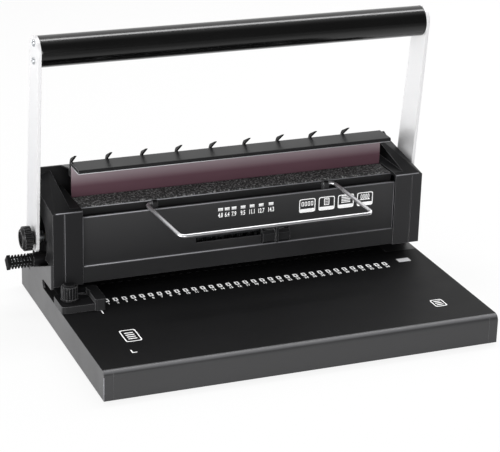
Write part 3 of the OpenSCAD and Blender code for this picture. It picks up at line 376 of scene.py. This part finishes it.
# Ground steel plate: grey, with grinding lines across the machine
groundSteel = workedMetal("ground steel", {
    "dark": "#7d8084", "light": "#94979b", "stretch": (0.04, 1, 1), "streakMm": 1.2, "stainMm": 30,
    "rough": (0.30, 0.44), "strength": 0.15, "depthMm": 0.02, "edgeMm": 0.3})
# Turned and hardened steel: brighter and smoother than the plates
turnedSteel = workedMetal("turned steel", {
    "dark": "#a8abae", "light": "#c0c3c6", "stretch": (1, 0.05, 0.05), "streakMm": 0.9, "stainMm": 20,
    "rough": (0.20, 0.32), "strength": 0.12, "depthMm": 0.02, "edgeMm": 0.25})
# Turned brass of the bushes: warm, with fine lathe rings
turnedBrass = workedMetal("turned brass", {
    "dark": "#a98442", "light": "#c49f58", "stretch": (1, 0.05, 0.05), "streakMm": 0.8, "stainMm": 15,
    "rough": (0.22, 0.34), "strength": 0.12, "depthMm": 0.02, "edgeMm": 0.25})
# Black ABS of the left cap, tray and slider: matt, with a fine grain, pale corners, partly wear and partly
# painted highlight, and painted light on the fronts
absLook = {"dark": "#151516", "light": "#1b1b1c", "edge": "#8c8c8e", "wearAndHighlight": 0.8, "grainMm": 1.3,
           "cloudMm": 30, "edgeMm": 0.6, "rough": (0.34, 0.44), "strength": 0.12, "depthMm": 0.03, "ior": 1.5,
           "gloss": 0.04, "paintedLight": [(towardsFront, 0.7, 0.98, "#262627")]}
blackAbs = mouldedPart("moulded black ABS", absLook)
# The same ABS on the right cap, with stronger painted light on the front
frontLitAbs = mouldedPart("moulded black ABS with painted front light", {
    **absLook, "paintedLight": [(towardsFront, 0.7, 0.98, "#343435")]})
# Black nylon of the guide and the rest's lugs: painted light on the front and left faces, with pale corners,
# partly wear and partly painted highlight
blackNylon = mouldedPart("moulded black nylon", {
    "dark": "#111112", "light": "#171718", "edge": "#9c9c9e", "wearAndHighlight": 0.8, "grainMm": 1.1, "cloudMm": 18,
    "edgeMm": 0.45, "rough": (0.36, 0.44), "strength": 0.12, "depthMm": 0.03, "ior": 1.53, "gloss": 0.12,
    "paintedLight": [(towardsFront, 0.7, 0.98, "#2e2e2f"), (towardsLeft, 0.7, 0.98, "#3c3c3d")]})
# Harder black phenolic of the knobs and the collar: pale ribs, partly wear and partly painted highlight, and
# a deep black end from painted shade
knobPhenolic = mouldedPart("moulded black phenolic", {
    "dark": "#101011", "light": "#161617", "edge": "#9a9a9c", "wearAndHighlight": 0.8, "grainMm": 1.0, "cloudMm": 12,
    "edgeMm": 0.4, "rough": (0.30, 0.38), "strength": 0.10, "depthMm": 0.03, "ior": 1.55, "gloss": 0.15,
    "paintedLight": [(towardsLeft, 0.9, 0.99, "#060607")]})
# Soft black rubber of the feet and the ribbed grip: dull, without a highlight
footRubber = mouldedPart("moulded black rubber", {
    "dark": "#0c0c0c", "light": "#121212", "edge": "#2a2a2a", "wearAndHighlight": 0.4, "grainMm": 0.9, "cloudMm": 8,
    "edgeMm": 0.5, "rough": (0.70, 0.82), "strength": 0.2, "depthMm": 0.04, "ior": 1.52, "gloss": 0.12})

dress(blackCoat, "rear_cover", "closer_bed", "hook_rail")
dress(baseCoat, "base_shell", "side_frame_left", "side_frame_right", "bottom_plate")
dress(coverCoat, "front_cover")
dress(barCoat, "jaw_bar")
dress(maroonCoat, "jaw_plate")
dress(tubeCoat, "handle_tube")
dress(armCoat, "lever_arm_right")
dress(leftArmCoat, "lever_arm_left")
dress(hookCoat, "wire_hooks", "die_plate", "column_plate_left", "column_plate_right", "size_stop")
dress(rodNickel, "document_rest")
dress(groundSteel, "rear_tie_bar", "upper_tie_bar", "pin_guide_plate", "punch_beam", "punch_racks",
      "jaw_racks", "guide_clamp_plate")
dress(turnedSteel, "main_shaft", "punch_gears", "jaw_gears", "punch_pins", "return_springs", "margin_rod",
      "margin_fingers", "handle_screws", "cover_screws")
dress(turnedBrass, "shaft_bushes")
dress(blackAbs, "end_cap_left", "chip_tray", "handle_plugs", "size_slider")
dress(frontLitAbs, "end_cap_right")
dress(blackNylon, "edge_guide", "rest_brackets", "bed_pad")
dress(knobPhenolic, "clamp_knob_left", "clamp_knob_right", "guide_lock_knob", "margin_collar")
dress(footRubber, "rubber_feet", "margin_grip")
print("finishes on", len(nodes), "nodes")

# Grit pad on the closing floor
padLook = {"stepMm": 0.7, "reliefMm": 0.35, "seed": 4, "roundMm": 0.5, "dark": "#202020", "light": "#949494",
           "speckMm": 2.0, "speckPick": (0.50, 0.66), "speckDepthMm": 0.2, "strength": 0.5, "rough": 0.8}


def gritMaterial():
    # rubber-bound grit: near black with scattered paler specks about a millimetre across
    mat, tree, at = startMaterial("rubber-bound grit")
    speck = addNode(tree, "ShaderNodeTexNoise",
                    {"Scale": 1 / (padLook["speckMm"] * mm), "Detail": 3.0, "Roughness": 0.7}, {"Vector": at})
    binder, grain = padLook["speckPick"]
    pick = addNode(tree, "ShaderNodeMapRange", {"From Min": binder, "From Max": grain},
                   {"Value": speck.outputs[0]})
    tone = addNode(tree, "ShaderNodeMix",
                   {"data_type": "RGBA", 6: hexToLinear(padLook["dark"]), 7: hexToLinear(padLook["light"])},
                   {0: pick.outputs[0]})
    bump = addNode(tree, "ShaderNodeBump",
                   {"Strength": padLook["strength"], "Distance": padLook["speckDepthMm"] * mm},
                   {"Height": speck.outputs[0]})
    skin = addNode(tree, "ShaderNodeBsdfPrincipled", {"Roughness": padLook["rough"]},
                   {"Base Color": tone.outputs[2], "Normal": bump.outputs[0]})
    addNode(tree, "ShaderNodeOutputMaterial", {}, {"Surface": skin.outputs[0]})
    return mat


def gritPad():
    # closed box of the pad: a grid over its top that drops by seeded grains and at the rim, with walls below
    lo, hi = (np.array(corner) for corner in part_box("bed_pad"))
    step = padLook["stepMm"] * mm
    x = np.linspace(lo[0], hi[0], int((hi[0] - lo[0]) / step) + 1)
    y = np.linspace(lo[1], hi[1], int((hi[1] - lo[1]) / step) + 1)
    gx, gy = np.meshgrid(x, y, indexing="ij")
    rng = np.random.default_rng(padLook["seed"])
    gz = hi[2] - padLook["reliefMm"] * mm * rng.random(gx.shape) ** 2
    edge = np.minimum.reduce([gx - lo[0], hi[0] - gx, gy - lo[1], hi[1] - gy])
    gz = np.where(edge < step / 2, hi[2] - padLook["roundMm"] * mm, gz)
    top = np.stack([gx, gy, gz], axis=-1).reshape(-1, 3)
    grid = np.arange(len(top)).reshape(gx.shape)
    rim = np.concatenate([grid[:, 0], grid[-1, 1:], grid[-2::-1, -1], grid[0, -2:0:-1]])
    foot = len(top) + np.arange(len(rim))
    verts = np.concatenate([top, top[rim] * (1, 1, 0) + (0, 0, lo[2])])
    walls = np.stack([rim, foot, np.roll(foot, -1), np.roll(rim, -1)], axis=-1)
    quads = gridFaces(*gx.shape, False, False)[:, ::-1]
    faces = quads.tolist() + walls.tolist() + [foot[::-1].tolist()]
    return meshObject("gritPad", verts.tolist(), faces, gritMaterial(), False)


pad = gritPad()
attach(pad, "frame")
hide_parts("bed_pad")
print("grit pad made")

# Deck sheet: vinyl on the steel, with a margin at the sides and the front fold, cut out round the slot of the
# guide and round the left side sheet
sheetLook = {"thickMm": 0.08, "sideMm": 0.3, "frontMm": 5.5, "backY": 35.8, "slotX": (-177.6, -160.4),
             "slotY": (5.4, 10.6), "notchX": -183.8, "notchY": 27.6}
deckZ = boxMm("base_shell")[1][2]


def deckSheet():
    # slab on a grid of x and y lines: top and bottom of every cell but the cut-outs, walls on open cell sides
    leftX, frontY = boxMm("side_frame_left")[0][:2] + (sheetLook["sideMm"], sheetLook["frontMm"])
    rightX = boxMm("side_frame_right")[1][0] - sheetLook["sideMm"]
    x = np.array([leftX, sheetLook["notchX"], *sheetLook["slotX"], rightX])
    y = np.array([frontY, *sheetLook["slotY"], sheetLook["notchY"], sheetLook["backY"]])
    nx, ny = len(x), len(y)
    gx, gy = np.meshgrid(x, y, indexing="ij")
    flat = np.stack([gx, gy, np.full(gx.shape, deckZ)], axis=-1).reshape(-1, 3)
    verts = np.concatenate([flat, flat + (0, 0, sheetLook["thickMm"])]) * mm
    keep = np.ones((nx - 1, ny - 1), bool)
    keep[2, 1] = False  # the guide's slot
    keep[0, 3] = False  # the notch round the left side sheet
    i, j = np.nonzero(keep)
    low = np.stack([i * ny + j, (i + 1) * ny + j, (i + 1) * ny + j + 1, i * ny + j + 1], axis=-1)
    top = nx * ny
    sides = np.concatenate([low[:, [k, (k + 1) % 4]] for k in range(4)])
    rim = [(a, b) for a, b in sides.tolist() if not ((sides == (b, a)).all(axis=1)).any()]
    walls = [(a, b, b + top, a + top) for a, b in rim]
    faces = (low + top).tolist() + low[:, ::-1].tolist() + walls
    return meshObject("deckSheet", verts.tolist(), faces, deckVinyl, False)


# Fold highlight lines: thin half-sunk pale beads on the folds of the sheets and the parting lines of the
# caps, painted highlights.
# A row is a node, the axis that the bead follows, its two ends on that axis, its place on the other two axes,
# and its radius, in millimetres from the node's lowest corner, or from its highest where negative
foldHighlightLook = {
    "sides": 12,
    "rows": [
        ("front_cover", 0, (0.6, -0.6), (2.0, -0.45), 0.55),  # upper fold of the cover
        ("front_cover", 0, (0.6, -0.6), (0.75, 15.75), 0.60),  # lower fold of the cover
        ("closer_bed", 0, (12.8, -12.8), (0.05, -0.15), 0.45),  # front edge of the closing floor
        ("front_cover", 2, (16.6, -1.0), (0.4, 1.7), 0.34),  # left side of the cover
        ("front_cover", 2, (16.6, -1.0), (-0.4, 1.7), 0.26),  # right side of the cover
        ("end_cap_left", 0, (3.0, -0.4), (0.7, 70.7), 0.50),  # upper front corner of the left cap
        ("end_cap_right", 0, (0.4, -3.0), (0.7, 70.7), 0.50),  # upper front corner of the right cap
        ("end_cap_left", 2, (1.0, -17.2), (11.4, 0.1), 0.16),  # parting line of the left cap
        ("side_frame_left", 2, (1.0, -38.0), (0.2, 0.2), 0.42),  # front left corner of the base
    ],
    "barRows": [
        ("jaw_bar", 1, (-23.4, -1.0), (0.2, 0.2), 0.45),  # lower corner at the bar's left end
        ("jaw_bar", 0, (0.2, -0.2), (-23.9, 0.1), 0.45),  # lower corner along the bar's front
    ],
}


def foldHighlightLines(name, rows, mat):
    # round bars: a circle of the bead's radius, square to its axis, carried from end to end, with flat ends
    verts, faces, count = [], [], 0
    n = foldHighlightLook["sides"]
    t = (np.arange(n) / n * 2 * np.pi)[:, None]
    for node, axis, span, across, r in rows:
        lo, hi = boxMm(node)
        offsets = np.array([np.insert(across, axis, place) for place in span])
        start, end = np.where(offsets < 0, hi, lo) + offsets
        along = np.eye(3)[axis]
        side = np.eye(3)[axis - 1]
        ring = r * (np.cos(t) * side + np.sin(t) * np.cross(side, along))
        verts.append(np.concatenate([ring + start, ring + end]) * mm)
        faces += gridFaces(2, n, False, True, count)[:, ::-1].tolist()
        faces += [list(range(count, count + n)), list(range(count + n, count + 2 * n))[::-1]]
        count += 2 * n
    smooth = np.array([len(f) == 4 for f in faces])  # the flat ends stay flat
    return meshObject(name, np.concatenate(verts).tolist(), faces, mat, smooth)


for piece in (deckSheet(), foldHighlightLines("foldHighlightLines", foldHighlightLook["rows"], foldHighlightCoat)):
    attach(piece, "frame")
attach(foldHighlightLines("barHighlightLines", foldHighlightLook["barRows"], barHighlightCoat), "closer_jaw")
print("deck sheet and fold lines made")

# Screen prints: thin raised ink on the front cover and the deck
inkLook = {"thickMm": 0.06, "mottleMm": 1.5, "rough": 0.55, "fontSize": 1.36, "fatten": 0.03, "curveSteps": 3}


def inkMaterial(name, low, high, glow):
    # screen ink or foil: matt, slightly uneven, and lifted a little by a painted glow
    mat, tree, at = startMaterial(name)
    mottle = addNode(tree, "ShaderNodeTexNoise", {"Scale": 1 / (inkLook["mottleMm"] * mm), "Detail": 2.0},
                     {"Vector": at})
    tone = addNode(tree, "ShaderNodeMix", {"data_type": "RGBA", 6: hexToLinear(low), 7: hexToLinear(high)},
                   {0: mottle.outputs[0]})
    skin = addNode(tree, "ShaderNodeBsdfPrincipled",
                   {"Roughness": inkLook["rough"], "Emission Color": hexToLinear(high),
                    "Emission Strength": glow}, {"Base Color": tone.outputs[2]})
    addNode(tree, "ShaderNodeOutputMaterial", {}, {"Surface": skin.outputs[0]})
    return mat


class Ink:
    # gathers flat shapes drawn in millimetres on a (u, v) sheet, each a thin closed solid
    def __init__(self):
        self.verts, self.faces, self.count = [], [], 0

    def add(self, verts, faces):
        self.verts.append(np.asarray(verts, float))
        self.faces += [[int(i) + self.count for i in f] for f in faces]
        self.count += len(verts)

    def ring(self, u, v, w, h, line, power, steps):
        # superellipse band: |x|^p + |y|^p = 1 at the outer and the inner size, on the floor and on top
        t = np.arange(steps) / steps * 2 * np.pi
        ex = np.sign(np.cos(t)) * np.abs(np.cos(t)) ** (2 / power)
        ey = np.sign(np.sin(t)) * np.abs(np.sin(t)) ** (2 / power)
        outer = np.stack([u + ex * w / 2, v + ey * h / 2], -1)
        inner = np.stack([u + ex * (w / 2 - line), v + ey * (h / 2 - line)], -1)
        z = inkLook["thickMm"]
        loops = [(outer, 0), (outer, z), (inner, z), (inner, 0)]
        pts = np.concatenate([np.column_stack([p, np.full(steps, k)]) for p, k in loops])
        self.add(pts, gridFaces(len(loops), steps, True, True))

    def plate(self, outline):
        # prism of an outline given anticlockwise: its floor, its top and one wall for each side
        n = len(outline)
        pts = [(u, v, k) for k in (0, inkLook["thickMm"]) for u, v in outline]
        walls = gridFaces(2, n, False, True)
        self.add(pts, [list(range(n))[::-1], list(range(n, 2 * n))] + walls.tolist())

    def bar(self, u, v, w, h):
        left, right, low, high = u - w / 2, u + w / 2, v - h / 2, v + h / 2
        self.plate([(left, low), (right, low), (right, high), (left, high)])

    def draw(self, u, v, marks):
        # a mark is a kind, its sizes, and the places of its copies across and up from (u, v)
        for kind, sizes, across, up in marks:
            shape = self.ring if kind == "ring" else self.bar
            for du in across:
                for dv in up:
                    shape(u + du, v + dv, *sizes)

    def digits(self, text, u, v, height, squeeze):
        # the font's own outlines, fattened a little and drawn narrower by the squeeze
        curve = bpy.data.curves.new("digits", "FONT")
        curve.body = text
        curve.size = height * inkLook["fontSize"]
        curve.align_x = "CENTER"
        curve.align_y = "CENTER"
        curve.extrude = inkLook["thickMm"] / 2
        curve.offset = height * inkLook["fatten"]
        curve.resolution_u = inkLook["curveSteps"]
        ob = bpy.data.objects.new("digits", curve)
        mesh = bpy.data.meshes.new_from_object(ob)
        co = np.empty(len(mesh.vertices) * 3)
        mesh.vertices.foreach_get("co", co)
        co = co.reshape(-1, 3) * (squeeze, 1, 1) + (u, v, inkLook["thickMm"] / 2)
        self.add(co, [list(p.vertices) for p in mesh.polygons])
        bpy.data.objects.remove(ob)
        bpy.data.curves.remove(curve)
        bpy.data.meshes.remove(mesh)

    def build(self, name, mat, originMm, axes):
        pts = (np.concatenate(self.verts) @ np.array(axes, float) + np.array(originMm)) * mm
        return meshObject(name, pts.tolist(), self.faces, mat, False)


# White screen ink: bright and flat against the black, lifted by a painted glow
whiteInk = inkMaterial("white screen ink", "#eeeeee", "#fbfbfb", 0.22)

# Cover print: wire sizes with a short comb above each, and four boxes that hold a plain figure and a strip.
# Ring sizes are width, height, line, power and steps, bar sizes are width and height, all in millimetres.
# The axes are the directions of u, of v and out of the face
coverPrint = {
    "faceMm": 1.6,  # the printed face lies this far behind the cover's foremost edge
    "axes": [(1, 0, 0), (0, 0, 1), (0, -1, 0)],
    # each wire size and its place
    "sizes": {"4.8": -22.6, "6.4": -16.0, "7.9": -9.2, "9.5": -0.2, "11.1": 8.9, "12.7": 18.0, "14.3": 28.0},
    "sizeZ": 90.6, "sizeHeight": 4.6, "squeeze": 0.62,
    "combZ": 96.4,
    "comb": [("bar", (4.8, 1.0), (0,), (1.0,)), ("bar", (0.8, 1.9), (-1.8, -0.6, 0.6, 1.8), (-0.45,))],
    "boxX": [65.2, 85.2, 105.1, 125.1], "boxZ": 90.3,
    "box": [("ring", (16.6, 13.6, 0.8, 9.0, 40), (0,), (0,)), ("bar", (14.6, 2.7), (0,), (-4.55,))],
    "figures": [
        # a row of square holes
        [("ring", (2.3, 4.4, 0.6, 8.0, 16), (-4.8, -1.6, 1.6, 4.8), (1.8,))],
        # one sheet with lines on it
        [("ring", (5.4, 7.2, 0.7, 9.0, 24), (0,), (1.8,)), ("bar", (3.2, 0.5), (0,), (0.25, 1.85, 3.45))],
        # a stack of sheets
        [("bar", (9.2, 0.8), (0,), (-1.0, 0.6, 2.2, 3.8, 5.4))],
        # wire loops over a spine
        [("ring", (1.9, 5.2, 0.55, 2.4, 20), (-3.6, -1.2, 1.2, 3.6), (2.4,)),
         ("bar", (10.4, 0.7), (0,), (-0.55,))],
    ],
}


def printCover():
    ink = Ink()
    for text, x in coverPrint["sizes"].items():
        ink.digits(text, x, coverPrint["sizeZ"], coverPrint["sizeHeight"], coverPrint["squeeze"])
        ink.draw(x, coverPrint["combZ"], coverPrint["comb"])
    for x, figure in zip(coverPrint["boxX"], coverPrint["figures"]):
        ink.draw(x, coverPrint["boxZ"], coverPrint["box"] + figure)
    faceY = boxMm("front_cover")[0][1] + coverPrint["faceMm"]
    return ink.build("coverPrint", whiteInk, (0, faceY, 0), coverPrint["axes"])


# Deck print: a numbered mark for each hole, an edge mark, two sheet signs and a corner mark
deckPrint = {
    "axes": [(1, 0, 0), (0, 1, 0), (0, 0, 1)],
    "count": 34, "pitch": 8.467, "markY": 9.7, "mark": (4.4, 7.0, 1.35, 5.0, 20),
    "digitY": 2.4, "digitHeight": 3.9, "squeeze": 0.8,
    "signs": [
        # edge mark beside the guide
        (-150.9, -13.5, [("bar", (1.0, 7.0), (0,), (0,))]),
        # sheet signs at the left and at the right
        (-142.5, -69.0, [("ring", (15.0, 24.0, 1.0, 9.0, 36), (0,), (0,)),
                         ("bar", (8.0, 1.4), (0,), (-6.3, -2.3, 1.7, 5.7))]),
        (146.8, -90.5, [("ring", (12.0, 15.0, 1.0, 7.0, 32), (0,), (0,)),
                        ("bar", (6.4, 1.4), (0,), (-3.5, 0, 3.5))]),
    ],
    "corner": (-152.0, -103.0), "cornerArms": (4.6, 6.0), "cornerLine": 1.1,
}
printZ = deckZ + sheetLook["thickMm"]


def printDeck():
    ink = Ink()
    first = -(deckPrint["count"] - 1) / 2 * deckPrint["pitch"]
    for i in range(deckPrint["count"]):
        x = first + i * deckPrint["pitch"]
        ink.ring(x, deckPrint["markY"], *deckPrint["mark"])
        ink.digits(str(i + 1), x, deckPrint["digitY"], deckPrint["digitHeight"], deckPrint["squeeze"])
    for sign in deckPrint["signs"]:
        ink.draw(*sign)
    x, y = deckPrint["corner"]
    w, h = deckPrint["cornerArms"]
    line = deckPrint["cornerLine"]
    ink.plate([(x, y), (x + w, y), (x + w, y + line), (x + line, y + line), (x + line, y + h), (x, y + h)])
    return ink.build("deckPrint", whiteInk, (0, 0, printZ), deckPrint["axes"])


# Bare foil plate at the right of the marks: pale and dull, with a faint painted glow
plateLook = {"placeMm": (161.4, 12.6), "sizeMm": (12.8, 8.0), "low": "#c2c2c4", "high": "#d4d4d6",
             "glow": 0.05}


def labelPlate():
    ink = Ink()
    ink.bar(*plateLook["placeMm"], *plateLook["sizeMm"])
    foil = inkMaterial("bare grey foil", plateLook["low"], plateLook["high"], plateLook["glow"])
    return ink.build("labelPlate", foil, (0, 0, printZ), deckPrint["axes"])


for piece in (printCover(), printDeck(), labelPlate()):
    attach(piece, "frame")
print("prints made")

# Handle tube: a smooth turned surface in place of the faceted solid
tubeLook = {"wallMm": 2.0, "endRoundMm": 0.8, "guardMm": 1.0, "sides": 128, "endSteps": 5}


def handleTube():
    # surface of revolution about X: radius constant along the tube, eased by a quarter circle at both ends
    lo, hi = (np.array(corner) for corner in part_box("handle_tube"))
    centre = (lo + hi) / 2
    radius = (hi[2] - lo[2]) / 2
    r = tubeLook["endRoundMm"] * mm
    a = np.linspace(0, np.pi / 2, tubeLook["endSteps"])
    left = np.column_stack([lo[0] + r - r * np.cos(a), radius - r + r * np.sin(a)])
    right = np.column_stack([hi[0] - r + r * np.sin(a), radius - r + r * np.cos(a)])
    inner = radius - tubeLook["wallMm"] * mm
    guard = r + tubeLook["guardMm"] * mm  # a ring past each rounding keeps the long wall's normals square
    straight = [(lo[0] + guard, radius), (hi[0] - guard, radius)]
    profile = np.concatenate([[(lo[0], inner)], left, straight, right, [(hi[0], inner)]])
    t = np.arange(tubeLook["sides"]) / tubeLook["sides"] * 2 * np.pi
    x = np.repeat(profile[:, :1], len(t), axis=1)
    y = centre[1] + profile[:, 1:] * np.cos(t)
    z = centre[2] + profile[:, 1:] * np.sin(t)
    pts = np.stack([x, y, z], axis=-1).reshape(-1, 3)
    # the profile runs back through the bore, so the wall closes on itself
    faces = gridFaces(len(profile), len(t), True, True)
    return meshObject("handleTube", pts.tolist(), faces.tolist(), tubeCoat)


tube = handleTube()
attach(tube, "lever")
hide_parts("handle_tube")

# Screws with domed heads and a cross recess: hub and reach are shares of the head's radius, and turn is a
# direction off every head's axis that sets how the cross lies
screwLook = {"rings": 16, "spokes": 48, "hub": 0.02, "dome": 0.8, "recessMm": 0.9, "slotMm": 0.55,
             "slotEaseMm": 0.2, "reach": 0.62, "reachEaseMm": 0.4, "turn": (0.3, 0.5, 0.8),
             "armSeatMm": 2.0, "armDomeMm": 1.9, "armDepthMm": 1.0, "backDepthMm": 0.3}


def crossHead(centre, normal, radius, height, depth):
    # polar grid over the head: height times the root of 1 - dome * s^4, with s = 1 at the rim, less a cross
    # that is cut where both the distance to its arms' middle lines and the distance along them are small
    spokes = screwLook["spokes"]
    s = np.linspace(screwLook["hub"], 1, screwLook["rings"])[:, None]
    t = np.arange(spokes)[None, :] / spokes * 2 * np.pi
    u, v = s * np.cos(t) * radius, s * np.sin(t) * radius
    off = np.minimum(np.abs(u), np.abs(v))
    along = np.maximum(np.abs(u), np.abs(v))
    cut = np.clip((screwLook["slotMm"] * mm - off) / (screwLook["slotEaseMm"] * mm), 0, 1)
    cut = cut * np.clip((radius * screwLook["reach"] - along) / (screwLook["reachEaseMm"] * mm), 0, 1)
    z = height * np.sqrt(1 - screwLook["dome"] * s ** 4) - cut * screwLook["recessMm"] * mm
    top = np.stack([u, v, z], axis=-1)
    rim = top[-1:].copy()
    rim[..., 2] = -depth
    pts = np.concatenate([top, rim]).reshape(-1, 3)
    out = np.array(normal, float)
    side = np.cross(out, screwLook["turn"])
    side /= np.linalg.norm(side)
    return np.array(centre) + pts @ np.array([side, np.cross(out, side), out])


def screwSet(name, heads):
    # the heads as one piece, each closed by a flat at its hub and a flat under its rim
    verts, faces, count = [], [], 0
    spokes = screwLook["spokes"]
    for head in heads:
        pts = crossHead(*head)
        last = count + len(pts)
        verts.append(pts)
        faces += gridFaces(screwLook["rings"] + 1, spokes, False, True, count)[:, ::-1].tolist()
        faces += [list(range(count, count + spokes)), list(range(last - spokes, last))[::-1]]
        count = last
    return meshObject(name, np.concatenate(verts).tolist(), faces, turnedSteel)


def looseBoxes(name):
    # splits a node into its loose solids by linking faces that share a place, and gives each one's box
    mesh = nodes[name].data
    co = np.empty(len(mesh.vertices) * 3)
    mesh.vertices.foreach_get("co", co)
    co = co.reshape(-1, 3)
    microns = np.round(co / mm * 1000).astype(np.int64)
    key = np.unique(microns, axis=0, return_inverse=True)[1].reshape(-1)
    links = key[np.array([list(p.vertices) for p in mesh.polygons])]
    label = np.arange(key.max() + 1)
    old = None
    while not np.array_equal(label, old):  # corners of a face take its lowest label, until none changes
        old = label.copy()
        lowest = label[links].min(axis=1)
        for corner in links.T:
            np.minimum.at(label, corner, lowest)
    owner = label[key]
    return [(co[owner == g].min(0), co[owner == g].max(0)) for g in np.unique(owner)]


def armScrews():
    heads = []
    for lo, hi in looseBoxes("handle_screws"):
        mid = (lo + hi) / 2
        out = 1 if mid[0] > 0 else -1
        face = hi[0] if out > 0 else lo[0]
        seat = (face - out * screwLook["armSeatMm"] * mm, mid[1], mid[2])
        heads.append((seat, (out, 0, 0), (hi[2] - lo[2]) / 2, screwLook["armDomeMm"] * mm,
                      screwLook["armDepthMm"] * mm))
    return screwSet("armScrews", heads)


def backScrews():
    heads = []
    for lo, hi in looseBoxes("cover_screws"):
        mid = (lo + hi) / 2
        heads.append(((mid[0], lo[1], mid[2]), (0, 1, 0), (hi[2] - lo[2]) / 2, hi[1] - lo[1],
                      screwLook["backDepthMm"] * mm))
    return screwSet("backScrews", heads)


screws = armScrews()
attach(screws, "lever")
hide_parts("handle_screws")
screws = backScrews()
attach(screws, "frame")
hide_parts("cover_screws")
print("handle and screws made")
